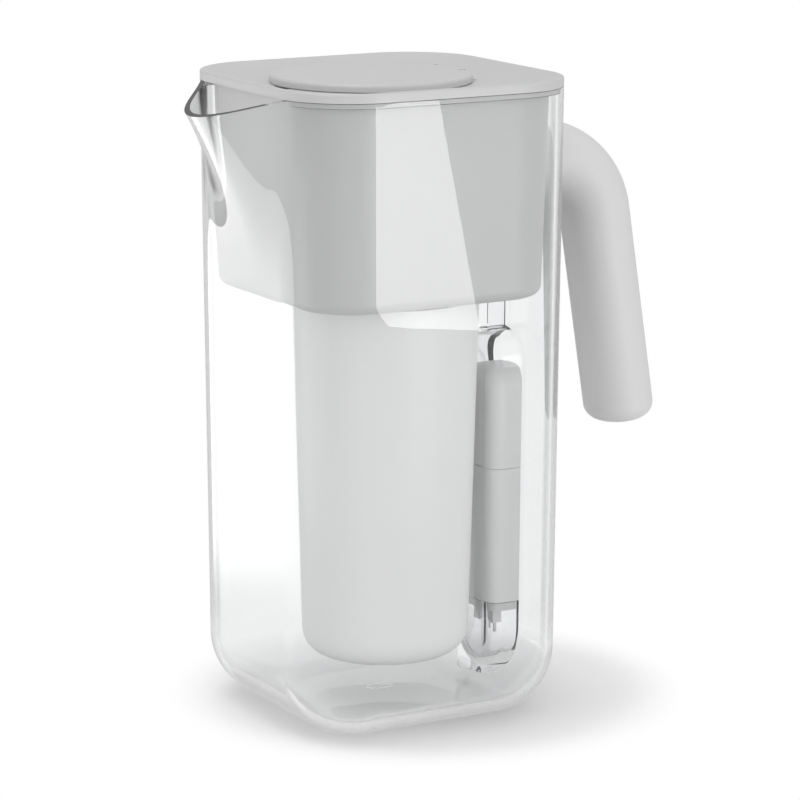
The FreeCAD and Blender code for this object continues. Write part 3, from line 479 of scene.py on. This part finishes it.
def skin(shape, rings):
    """Closed skin over rings of equally many points, with a flat face at both ends."""
    rows = [[shape.verts.new(point) for point in ring] for ring in rings]
    for low, high in zip(rows, rows[1:]):
        for i in range(len(low)):
            j = (i + 1) % len(low)
            shape.faces.new((low[i], low[j], high[j], high[i]))
    shape.faces.new(list(reversed(rows[0])))
    shape.faces.new(rows[-1])


def ring_piece(name, rings):
    """Scratch piece that is a closed skin over rings."""
    return mesh_piece(name, lambda shape: skin(shape, rings))


def box_piece(name, low, high):
    """Scratch piece that is a box."""
    corners = ((low.x, low.y), (high.x, low.y), (high.x, high.y), (low.x, high.y))
    return ring_piece(name, [[Vector((x, y, z)) for x, y in corners] for z in (low.z, high.z)])


def combine(piece, other, operation):
    """Cuts, joins or meets a piece with another one, which is used up."""
    modifier = piece.modifiers.new(operation, "BOOLEAN")
    modifier.operation = operation
    modifier.solver = "EXACT"
    modifier.object = other
    bpy.context.view_layer.update()
    evaluated = piece.evaluated_get(bpy.context.evaluated_depsgraph_get())
    made = bpy.data.meshes.new_from_object(evaluated)
    piece.modifiers.remove(modifier)
    piece.data = made
    bpy.data.objects.remove(other)


def square_ring(half, radius, side_steps, corner_steps):
    """Square with round corners, counter-clockwise; side_steps are for +X, +Y, -X and -Y."""
    flat = half - radius
    points = []
    for quarter, steps in enumerate(side_steps):
        run = [(half, -flat + 2 * flat * i / steps) for i in range(steps)]
        for i in range(corner_steps):
            turn = math.pi / 2 * i / corner_steps
            run.append((flat + radius * math.cos(turn), flat + radius * math.sin(turn)))
        for x, y in run:
            for _ in range(quarter):
                x, y = -y, x
            points.append((x, y))
    return points


def stadium_ring(half, foot, top, steps, x):
    """Upright slot outline with round ends in the plane at x."""
    points = []
    for middle_z, start in ((top - half, 0.0), (foot + half, math.pi)):
        for i in range(steps + 1):
            turn = start + math.pi * i / steps
            points.append(Vector((x, half * math.cos(turn), middle_z + half * math.sin(turn))))
    return points


# Geometry Nodes

def geometry_tree(name, inputs):
    """Empty Geometry Nodes tree with named inputs and one geometry output."""
    kinds = {"geometry": "NodeSocketGeometry", "whole": "NodeSocketInt", "length": "NodeSocketFloat",
             "vector": "NodeSocketVector", "material": "NodeSocketMaterial"}
    tree = bpy.data.node_groups.new(name, "GeometryNodeTree")
    for label, kind in inputs:
        tree.interface.new_socket(label, in_out="INPUT", socket_type=kinds[kind])
    tree.interface.new_socket("Geometry", in_out="OUTPUT", socket_type="NodeSocketGeometry")
    return tree, tree.nodes.new("NodeGroupInput").outputs, tree.nodes.new("NodeGroupOutput").inputs


def tube(tree, curve, radius, sides):
    """Curve swept by a circle; returns the mesh output."""
    circle = add_node(tree, "GeometryNodeCurvePrimitiveCircle", {"Resolution": sides, "Radius": radius})
    sweep = add_node(tree, "GeometryNodeCurveToMesh", {
        "Curve": curve, "Profile Curve": circle.outputs["Curve"], "Fill Caps": True})
    return sweep.outputs["Mesh"]


def moved(tree, geometry, offset, turn):
    """Geometry moved by an offset socket and turned about the upright axis."""
    values = {"Geometry": geometry, "Translation": offset, "Rotation": (0, 0, turn)}
    return add_node(tree, "GeometryNodeTransform", values).outputs["Geometry"]


def upright(tree, height):
    """Vector along Z from a height."""
    return add_node(tree, "ShaderNodeCombineXYZ", {"Z": height}).outputs["Vector"]


def paint_out(tree, geometry, material, output):
    """Ends a tree: copies made real and their material set."""
    real = add_node(tree, "GeometryNodeRealizeInstances", {"Geometry": geometry})
    paint = add_node(tree, "GeometryNodeSetMaterial", {"Geometry": real.outputs["Geometry"],
                                                       "Material": material})
    tree.links.new(paint.outputs["Geometry"], output)


def copies_tree():
    """Geometry Nodes: copies of the incoming mesh along a line, as one mesh."""
    tree, ins, outs = geometry_tree("copies_along_line", (
        ("Geometry", "geometry"), ("Count", "whole"), ("Start", "vector"), ("Offset", "vector"),
        ("Material", "material")))
    line = add_node(tree, "GeometryNodeMeshLine", {
        "Count": ins["Count"], "Start Location": ins["Start"], "Offset": ins["Offset"]})
    place = add_node(tree, "GeometryNodeInstanceOnPoints", {
        "Points": line.outputs["Mesh"], "Instance": ins["Geometry"]})
    paint_out(tree, place.outputs["Instances"], ins["Material"], outs["Geometry"])
    return tree


def screen_tree():
    """Geometry Nodes: round frame with two layers of crossing wires, cut to the frame's circle."""
    wire_sides = 6
    frame_sides = 12
    frame_steps = 72
    tree, ins, outs = geometry_tree("round_screen", (
        ("Radius", "length"), ("Frame", "length"), ("Wire", "length"), ("Count", "whole"),
        ("Pitch", "length"), ("Middle", "vector"), ("Material", "material")))
    last = math_node(tree, "SUBTRACT", ins["Count"], 1.0)
    first = math_node(tree, "MULTIPLY", math_node(tree, "MULTIPLY", last, -0.5), ins["Pitch"])
    start = add_node(tree, "ShaderNodeCombineXYZ", {"Y": first})
    offset = add_node(tree, "ShaderNodeCombineXYZ", {"Y": ins["Pitch"]})
    line = add_node(tree, "GeometryNodeMeshLine", {
        "Count": ins["Count"], "Start Location": start.outputs["Vector"],
        "Offset": offset.outputs["Vector"]})
    place = tree.nodes.new("GeometryNodeInputPosition").outputs["Position"]
    parts = add_node(tree, "ShaderNodeSeparateXYZ", {"Vector": place})
    square = math_node(tree, "MULTIPLY", ins["Radius"], ins["Radius"])
    off_axis = math_node(tree, "MULTIPLY", parts.outputs["Y"], parts.outputs["Y"])
    inside = math_node(tree, "MAXIMUM", math_node(tree, "SUBTRACT", square, off_axis), 0.0)
    reach = math_node(tree, "SQRT", inside, 0.0)
    stretch = add_node(tree, "ShaderNodeCombineXYZ", {"X": reach, "Y": 1.0, "Z": 1.0})
    wire = add_node(tree, "GeometryNodeCurvePrimitiveLine", {"Start": (-1, 0, 0), "End": (1, 0, 0)})
    copies = add_node(tree, "GeometryNodeInstanceOnPoints", {
        "Points": line.outputs["Mesh"], "Instance": wire.outputs["Curve"],
        "Scale": stretch.outputs["Vector"]})
    real = add_node(tree, "GeometryNodeRealizeInstances", {"Geometry": copies.outputs["Instances"]})
    wires = tube(tree, real.outputs["Geometry"], ins["Wire"], wire_sides)
    rim = add_node(tree, "GeometryNodeCurvePrimitiveCircle", {"Resolution": frame_steps,
                                                              "Radius": ins["Radius"]})
    join = tree.nodes.new("GeometryNodeJoinGeometry")
    below = math_node(tree, "MULTIPLY", ins["Wire"], -1.0)
    for layer in (moved(tree, wires, upright(tree, ins["Wire"]), 0),
                  moved(tree, wires, upright(tree, below), math.pi / 2),
                  tube(tree, rim.outputs["Curve"], ins["Frame"], frame_sides)):
        tree.links.new(layer, join.inputs["Geometry"])
    placed = moved(tree, join.outputs["Geometry"], ins["Middle"], 0)
    paint_out(tree, placed, ins["Material"], outs["Geometry"])
    return tree


def bake_nodes(piece, tree, values):
    """Runs a Geometry Nodes tree on a piece with named inputs and keeps the result as its mesh."""
    modifier = piece.modifiers.new(tree.name, "NODES")
    modifier.node_group = tree
    for item in tree.interface.items_tree:
        if item.in_out == "INPUT" and item.name in values:
            modifier[item.identifier] = values[item.name]
    bpy.context.view_layer.update()
    evaluated = piece.evaluated_get(bpy.context.evaluated_depsgraph_get())
    made = bpy.data.meshes.new_from_object(evaluated)
    piece.modifiers.remove(modifier)
    piece.data = made
    made.name = piece.name
    return piece


def stand_in(piece, node, body):
    """The piece replaces a node on its body."""
    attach(piece, body)
    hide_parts(node)


# Operators, one for each piece or group of like pieces

class PITCHER_OT_tank(bpy.types.Operator):
    """Clear tank and the clear parts of the meter"""
    bl_idname = "pitcher.tank"
    bl_label = "Clear tank"

    def execute(self, context):
        finish = context.scene.pitcher_finish
        tank = context.scene.pitcher_tank
        glass = clear("tank_clear", TANK_COLOUR, finish.clear_ior, roughness=0.0,
                      base_height=tank.base_round)
        dress(glass, "pitcher_body")
        cap = clear("cap_clear", CAP_COLOUR, finish.clear_ior, roughness=0.03)
        dress(cap, "meter_cap", "display_lens")
        self.body(tank, context.scene.pitcher_detail, glass)
        return {"FINISHED"}

    def half(self, tank, z):
        """Half of the outer width at height z."""
        return (tank.base_side + (tank.rim_side - tank.base_side) * z / tank.rim) / 2

    def ring(self, tank, z, inset, setback):
        """Outline at height z, moved in, with the spout's bell on its -X side."""
        side_steps = (8, 8, 40, 8)
        corner_steps = 20
        start = tank.rim - tank.spout_depth
        rise = max(0.0, (z - start) / (tank.rim - tank.lip_drop - start))
        swell = tank.spout_reach * rise ** tank.spout_flare
        points = []
        inward = inset + setback
        half = self.half(tank, z) - inward
        for x, y in square_ring(half, tank.corner - inward, side_steps, corner_steps):
            if x < 0 and abs(y) < tank.spout_half:
                share = (1 + math.cos(math.pi * y / tank.spout_half)) / 2
                x -= swell * share ** tank.spout_crest
            points.append(Vector((x, y, z)))
        return points

    def form(self, tank, inset, foot, top):
        """Tank filled solid, moved in by the inset, from foot to top."""
        round_steps = 24
        wall_steps = 6
        spout_steps = 40
        radius = tank.base_round - inset
        start = tank.rim - tank.spout_depth
        rings = []
        for i in range(round_steps):
            turn = math.pi / 2 * i / round_steps
            height = foot + radius * (1 - math.cos(turn))
            rings.append(self.ring(tank, height, inset, radius * (1 - math.sin(turn))))
        low = foot + radius
        for i in range(wall_steps):
            rings.append(self.ring(tank, low + (start - low) * i / wall_steps, inset, 0))
        for i in range(spout_steps + 1):
            rings.append(self.ring(tank, start + (top - start) * i / spout_steps, inset, 0))
        return ring_piece("tank_form", rings)

    def slot(self, half, foot, top, back, front, back_round):
        """Upright slot block along X with its inner edge rounded."""
        end_steps = 24
        round_steps = 12
        rings = [stadium_ring(half, foot, top, end_steps, front)]
        for i in range(round_steps + 1):
            turn = math.pi / 2 * i / round_steps
            inward = back_round * (1 - math.cos(turn))
            rings.append(stadium_ring(half - inward, foot + inward, top - inward, end_steps,
                                      back + back_round * (1 - math.sin(turn))))
        return ring_piece("slot", rings)

    def lip_cut(self, tank):
        """Wedge that slopes the spout's lip down to its tip."""
        rim_half = self.half(tank, tank.rim)
        steep = tank.lip_drop / tank.spout_reach
        stretch = 2 * tank.spout_reach
        above = tank.rim + CUT_MARGIN
        wedge = [(-rim_half, tank.rim), (-rim_half - stretch, tank.rim - steep * stretch),
                 (-rim_half - stretch, above), (-rim_half, above)]
        return ring_piece("lip", [[Vector((x, y, z)) for x, z in wedge]
                                  for y in (-tank.rim_side, tank.rim_side)])

    def ledge_cut(self, tank):
        """Step inside the rim, for the reservoir's flange."""
        side_steps = (1, 1, 1, 1)
        corner_steps = 24
        outline = square_ring(self.half(tank, tank.rim) - tank.ledge_lip, tank.corner - tank.ledge_lip,
                              side_steps, corner_steps)
        return ring_piece("ledge", [[Vector((x, y, z)) for x, y in outline]
                                    for z in (tank.rim - tank.ledge_depth, tank.rim + CUT_MARGIN)])

    def niche_block(self, tank, front):
        """Block for the niche's walls, kept inside the tank's form."""
        block = self.slot(tank.niche_half + tank.niche_wall, -tank.niche_half - tank.niche_wall,
                          tank.niche_top + tank.niche_wall, tank.niche_back - tank.niche_wall, front,
                          tank.niche_round + tank.niche_wall)
        combine(block, self.form(tank, 0, 0, tank.rim), "INTERSECT")
        return block

    def fin(self, tank):
        """Upright fin above the niche."""
        inside = self.half(tank, tank.niche_top) - tank.wall
        half = tank.fin_width / 2
        foot = tank.niche_top + tank.niche_wall / 2
        return box_piece("fin", Vector((inside - tank.fin_depth, -half, foot)),
                         Vector((inside + tank.wall / 2, half, tank.fin_top)))

    def spigot(self, tank):
        """Oval stub that the handle sits on."""
        steps = 64
        wall_x = self.half(tank, tank.spigot_height)
        oval = []
        for i in range(steps):
            turn = 2 * math.pi * i / steps
            oval.append((tank.spigot_wide * math.cos(turn),
                         tank.spigot_height + tank.spigot_high * math.sin(turn)))
        return ring_piece("spigot", [[Vector((x, y, z)) for y, z in oval]
                                     for x in (wall_x - tank.wall / 2, wall_x + tank.spigot_length)])

    def gate_ring(self, tank, detail):
        """Bead on the tank floor."""
        bead_steps = 16
        ring_steps = 48
        bead = detail.gate_bead
        turns = [2 * math.pi * i / bead_steps for i in range(bead_steps + 1)]
        profile = [(detail.gate_radius + bead * math.cos(turn), bead * math.sin(turn)) for turn in turns]
        floor = Vector((0, 0, tank.floor))
        return mesh_piece("gate_ring", lambda shape: turn_profile(shape, profile, ring_steps, floor))

    def body(self, tank, detail, glass):
        """Tank with hollow, lip, ledge, niche, fin, spigot and gate ring."""
        front = self.half(tank, tank.rim) + CUT_MARGIN
        piece = self.form(tank, 0, 0, tank.rim)
        combine(piece, self.form(tank, tank.wall, tank.floor, tank.rim + CUT_MARGIN), "DIFFERENCE")
        combine(piece, self.lip_cut(tank), "DIFFERENCE")
        combine(piece, self.ledge_cut(tank), "DIFFERENCE")
        combine(piece, self.niche_block(tank, front), "UNION")
        combine(piece, self.fin(tank), "UNION")
        combine(piece, self.spigot(tank), "UNION")
        combine(piece, self.slot(tank.niche_half, tank.niche_foot, tank.niche_top, tank.niche_back, front,
                                 tank.niche_round), "DIFFERENCE")
        combine(piece, self.gate_ring(tank, detail), "UNION")
        piece.name = "pitcher_body_fine"
        piece.data.name = piece.name
        piece.data.materials.clear()
        piece.data.materials.append(glass)
        smooth(piece.data, angle=35.0)
        stand_in(piece, "pitcher_body", "pitcher")


class PITCHER_OT_handle(bpy.types.Operator):
    """Matte handle and its two screws"""
    bl_idname = "pitcher.handle"
    bl_label = "Handle"

    def execute(self, context):
        finish = context.scene.pitcher_finish
        dress(moulded("handle_matte", finish.handle, roughness=0.55, depth=0.02 * MM, grain=1800.0,
                      scatter=0.05), "handle_shell")
        self.screws(metal("screw_steel", finish.steel, roughness=0.28), context.scene.pitcher_detail)
        return {"FINISHED"}

    def screws(self, steel, detail):
        """Two pan head screws with threads and a cross recess, heads down."""
        low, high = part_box("handle_screws")
        length = high.z - low.z
        head_radius = (high.x - low.x) / 2
        spacing = high.y - low.y - 2 * head_radius
        head_height = 1.8 * MM
        crown = 0.35 * MM
        shank_radius = 1.9 * MM
        thread_depth = 0.25 * MM
        thread_root = 0.25 * detail.thread_pitch
        thread_crest = 0.75 * detail.thread_pitch
        steps = 32
        profile = [(0, 0.2 * crown), (0.6 * head_radius, 0.4 * crown), (head_radius - crown, crown),
                   (head_radius, 2 * crown), (head_radius, head_height), (shank_radius, head_height)]
        for i in range(int((length - head_height) / detail.thread_pitch)):
            foot = head_height + i * detail.thread_pitch
            profile.append((shank_radius - thread_depth, foot + thread_root))
            profile.append((shank_radius, foot + thread_crest))
        profile.append((0, length))
        piece = mesh_piece("handle_screws_threaded",
                           lambda shape: turn_profile(shape, profile, steps, Vector()), steel)
        arm = 0.55 * head_radius
        half_width = detail.recess_width / 2
        for x, y in ((arm, half_width), (half_width, arm)):
            combine(piece, box_piece("recess", Vector((-x, -y, -detail.recess_depth)),
                                     Vector((x, y, detail.recess_depth))), "DIFFERENCE")
        start = Vector((low.x + head_radius, -spacing / 2, low.z))
        bake_nodes(piece, copies_tree(), {"Count": 2, "Start": start, "Offset": Vector((0, spacing, 0)),
                                          "Material": steel})
        stand_in(piece, "handle_screws", "pitcher")


class PITCHER_OT_lid(bpy.types.Operator):
    """Lid, fill door, hinge pin and seal"""
    bl_idname = "pitcher.lid"
    bl_label = "Lid and fill door"

    def execute(self, context):
        finish = context.scene.pitcher_finish
        dress(moulded("lid_satin", finish.lid, roughness=0.42, scatter=0.05), "lid_plate", "fill_door")
        dress(metal("pin_steel", finish.steel, roughness=0.3), "door_hinge_pin")
        dress(moulded("seal_soft", finish.seal, roughness=0.6, depth=0.03 * MM, scatter=0.3),
              "door_seal", "filter_gasket")
        return {"FINISHED"}


class PITCHER_OT_reservoir(bpy.types.Operator):
    """Lift-out reservoir"""
    bl_idname = "pitcher.reservoir"
    bl_label = "Reservoir"

    def execute(self, context):
        finish = context.scene.pitcher_finish
        dress(moulded("tub_satin", finish.tub, roughness=0.4, scatter=0.08), "reservoir")
        return {"FINISHED"}


class PITCHER_OT_filter(bpy.types.Operator):
    """Filter cup, cap and the layers inside"""
    bl_idname = "pitcher.filter"
    bl_label = "Filter"

    def execute(self, context):
        finish = context.scene.pitcher_finish
        dress(moulded("filter_satin", finish.filter, roughness=0.45, scatter=0.08),
              "filter_shell", "filter_cap")
        layers = {}
        for node, name, colour, scale, tone, depth in FILTER_LAYERS:
            layers[node] = packed(name, colour, scale, tone, depth)
            dress(layers[node], node)
        self.screen(layers["coarse_screen"], context.scene.pitcher_detail)
        return {"FINISHED"}

    def screen(self, material, detail):
        """Round frame with two layers of crossing wires in place of the plain disc."""
        low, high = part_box("coarse_screen")
        piece = mesh_piece("coarse_screen_wires", lambda shape: None, material)
        radius = (high.x - low.x) / 2
        bake_nodes(piece, screen_tree(), {
            "Radius": radius - detail.frame_radius, "Frame": detail.frame_radius,
            "Wire": detail.wire_radius, "Count": int(2 * radius / detail.wire_pitch),
            "Pitch": detail.wire_pitch, "Middle": middle("coarse_screen"), "Material": material})
        smooth(piece.data, angle=50.0)
        stand_in(piece, "coarse_screen", "filter")


class PITCHER_OT_meter(bpy.types.Operator):
    """Water meter with its button, board, cells and probes"""
    bl_idname = "pitcher.meter"
    bl_label = "Water meter"

    def execute(self, context):
        finish = context.scene.pitcher_finish
        dress(moulded("meter_satin", finish.meter, roughness=0.35), "meter_body", "battery_cover",
              "probe_holder", "battery_tray")
        dress(moulded("button_soft", finish.button, roughness=0.6, depth=0.03 * MM), "meter_button")
        dress(moulded("board_coat", BOARD_COLOUR, roughness=0.35, tone=0.3, grain=800.0), "circuit_board")
        dress(moulded("display_dark", DISPLAY_COLOUR, roughness=0.2), "display_panel", "press_switch")
        dress(metal("meter_steel", finish.steel, roughness=0.25), "probe_pins", "battery_cells")
        return {"FINISHED"}


class PITCHER_OT_stage(bpy.types.Operator):
    """Floor, soft lights, white room and camera"""
    bl_idname = "pitcher.stage"
    bl_label = "Stage"

    def execute(self, context):
        stage = context.scene.pitcher_stage
        context.scene.view_settings.view_transform = "Standard"
        self.room(context.scene, stage)
        self.floor(stage)
        for name, setting, place, side in SOFTBOXES:
            self.softbox(name, Vector(place), side, getattr(stage, setting))
        self.card("front_card", [(x, FRONT_CARD_Y, z) for x, z in FRONT_CARD_XZ], stage.front_card)
        self.card("left_card", [(x, y, LEFT_CARD_Z) for x, y in LEFT_CARD_XY], stage.left_card)
        self.camera(context.scene, stage)
        return {"FINISHED"}

    def seen_white(self, tree, stage):
        """1 for camera and see-through rays, less for mirrored ones and 0 for soft light."""
        path = tree.nodes.new("ShaderNodeLightPath")
        mirrored = math_node(tree, "MULTIPLY", path.outputs["Is Glossy Ray"], stage.mirrored)
        direct = math_node(tree, "MAXIMUM", path.outputs["Is Camera Ray"],
                           path.outputs["Is Transmission Ray"])
        return math_node(tree, "MAXIMUM", direct, mirrored)

    def fade(self, tree, centre, start, end):
        """0 near a centre and 1 farther out, between two distances."""
        length = tree.nodes.new("ShaderNodeVectorMath")
        length.operation = "DISTANCE"
        length.inputs[1].default_value = centre
        tree.links.new(object_coordinates(tree), length.inputs[0])
        fade = add_node(tree, "ShaderNodeMapRange", {
            "Value": length.outputs["Value"], "From Min": start, "From Max": end})
        fade.interpolation_type = "SMOOTHSTEP"
        return fade.outputs["Result"]

    def room(self, scene, stage):
        """White room: even light, and white where it is seen."""
        world = bpy.data.worlds.new("white_room")
        scene.world = world
        world.use_nodes = True
        tree = world.node_tree
        background = tree.nodes["Background"]
        background.inputs["Color"].default_value = (1, 1, 1, 1)
        seen = self.seen_white(tree, stage)
        tree.links.new(math_node(tree, "MAXIMUM", seen, stage.ambient), background.inputs["Strength"])

    def contact_shade(self, tree):
        """Pale colour that darkens close to what stands on the floor."""
        reach = 0.04
        darkest = 0.64
        palest = 0.92
        occlusion = add_node(tree, "ShaderNodeAmbientOcclusion", {"Distance": reach})
        path = tree.nodes.new("ShaderNodeLightPath")
        indirect = math_node(tree, "SUBTRACT", 1.0, path.outputs["Is Camera Ray"])
        bare = math_node(tree, "MAXIMUM", occlusion.outputs["AO"], indirect)
        return ranged(tree, bare, 0.0, 1.0, darkest, palest)

    def sheet(self, name, corners, material):
        """Flat face with a material."""
        mesh = bpy.data.meshes.new(name)
        mesh.from_pydata(corners, [], [range(len(corners))])
        mesh.materials.append(material)
        sheet = bpy.data.objects.new(name, mesh)
        bpy.context.scene.collection.objects.link(sheet)
        return sheet

    def floor(self, stage):
        """Pale floor that keeps the shadow near the pitcher and fades to white."""
        half = 5.0
        below = -0.2 * MM
        material, tree, shader = new_material("floor_pale")
        tree.links.new(self.contact_shade(tree), shader.inputs["Base Color"])
        shader.inputs["Roughness"].default_value = 0.9
        shader.inputs["Specular IOR Level"].default_value = 0.0
        seen = self.seen_white(tree, stage)
        glow = math_node(tree, "MULTIPLY", seen, stage.floor_lift)
        lift = add_node(tree, "ShaderNodeEmission", {"Strength": glow})
        near = tree.nodes.new("ShaderNodeAddShader")
        tree.links.new(shader.outputs[0], near.inputs[0])
        tree.links.new(lift.outputs[0], near.inputs[1])
        white = add_node(tree, "ShaderNodeEmission", {"Strength": seen})
        path = tree.nodes.new("ShaderNodeLightPath")
        mirrored = math_node(tree, "SUBTRACT", path.outputs["Is Glossy Ray"],
                             path.outputs["Is Transmission Ray"])
        far = self.fade(tree, FLOOR_SHADE_MIDDLE, *FLOOR_FADE)
        whitened = math_node(tree, "MAXIMUM", far, mirrored)
        show_mix(tree, math_node(tree, "MULTIPLY", whitened, seen), near, white)
        floor = self.sheet("floor", [(-half, -half, below), (half, -half, below), (half, half, below),
                                     (-half, half, below)], material)

    def softbox(self, name, place, side, power):
        """Square area light that points at the pitcher and stays out of the picture."""
        light = bpy.data.lights.new(name, "AREA")
        light.size = side
        light.energy = power
        lamp = bpy.data.objects.new(name, light)
        lamp.location = place
        lamp.rotation_euler = (SOFTBOX_AIM - place).to_track_quat("-Z", "Y").to_euler()
        lamp.visible_camera = False
        bpy.context.scene.collection.objects.link(lamp)

    def card(self, name, corners, strength):
        """Flat card that only mirrors show."""
        material, tree, _ = new_material(name)
        glow = add_node(tree, "ShaderNodeEmission", {"Strength": strength})
        unlit = tree.nodes.new("ShaderNodeBsdfTransparent")
        show_mix(tree, self.fade(tree, (0, 0, 0), *CARD_FADE), unlit, glow)
        card = self.sheet(name, corners, material)
        card.visible_camera = False
        card.visible_diffuse = False
        card.visible_transmission = False
        card.visible_shadow = False

    def camera(self, scene, stage):
        """Camera at the photograph's viewing angle."""
        data = bpy.data.cameras.new("camera")
        data.lens = stage.lens
        data.sensor_width = SENSOR_WIDTH_MM
        data.shift_x, data.shift_y = CAMERA_SHIFT
        camera = bpy.data.objects.new("camera", data)
        camera.location = CAMERA_PLACE
        camera.rotation_euler = [math.radians(turn) for turn in CAMERA_TURN]
        scene.collection.objects.link(camera)
        scene.camera = camera


class PITCHER_PT_panel(bpy.types.Panel):
    """Pitcher panel in the sidebar"""
    bl_label = "Water filter pitcher"
    bl_idname = "PITCHER_PT_panel"
    bl_space_type = "VIEW_3D"
    bl_region_type = "UI"
    bl_category = "Pitcher"

    def draw(self, context):
        for operator in OPERATORS:
            self.layout.operator(operator.bl_idname)
        for setting in GROUPS:
            group = getattr(context.scene, setting)
            box = self.layout.box()
            for name in group.__annotations__:
                box.prop(group, name)


OPERATORS = (PITCHER_OT_tank, PITCHER_OT_handle, PITCHER_OT_lid, PITCHER_OT_reservoir, PITCHER_OT_filter,
             PITCHER_OT_meter, PITCHER_OT_stage)
GROUPS = {"pitcher_finish": PitcherFinish, "pitcher_tank": PitcherTank,
          "pitcher_detail": PitcherDetail, "pitcher_stage": PitcherStage}


def register():
    """Registers the settings, operators and panel."""
    for name, group in GROUPS.items():
        bpy.utils.register_class(group)
        setattr(bpy.types.Scene, name, bpy.props.PointerProperty(type=group))
    for item in (*OPERATORS, PITCHER_PT_panel):
        bpy.utils.register_class(item)


def unregister():
    """Takes them away again."""
    for item in (PITCHER_PT_panel, *reversed(OPERATORS)):
        bpy.utils.unregister_class(item)
    for name, group in GROUPS.items():
        delattr(bpy.types.Scene, name)
        bpy.utils.unregister_class(group)


def main():
    """Builds the scene."""
    register()
    for operator in OPERATORS:
        group, name = operator.bl_idname.split(".")
        getattr(getattr(bpy.ops, group), name)()


if __name__ == "__main__":
    main()
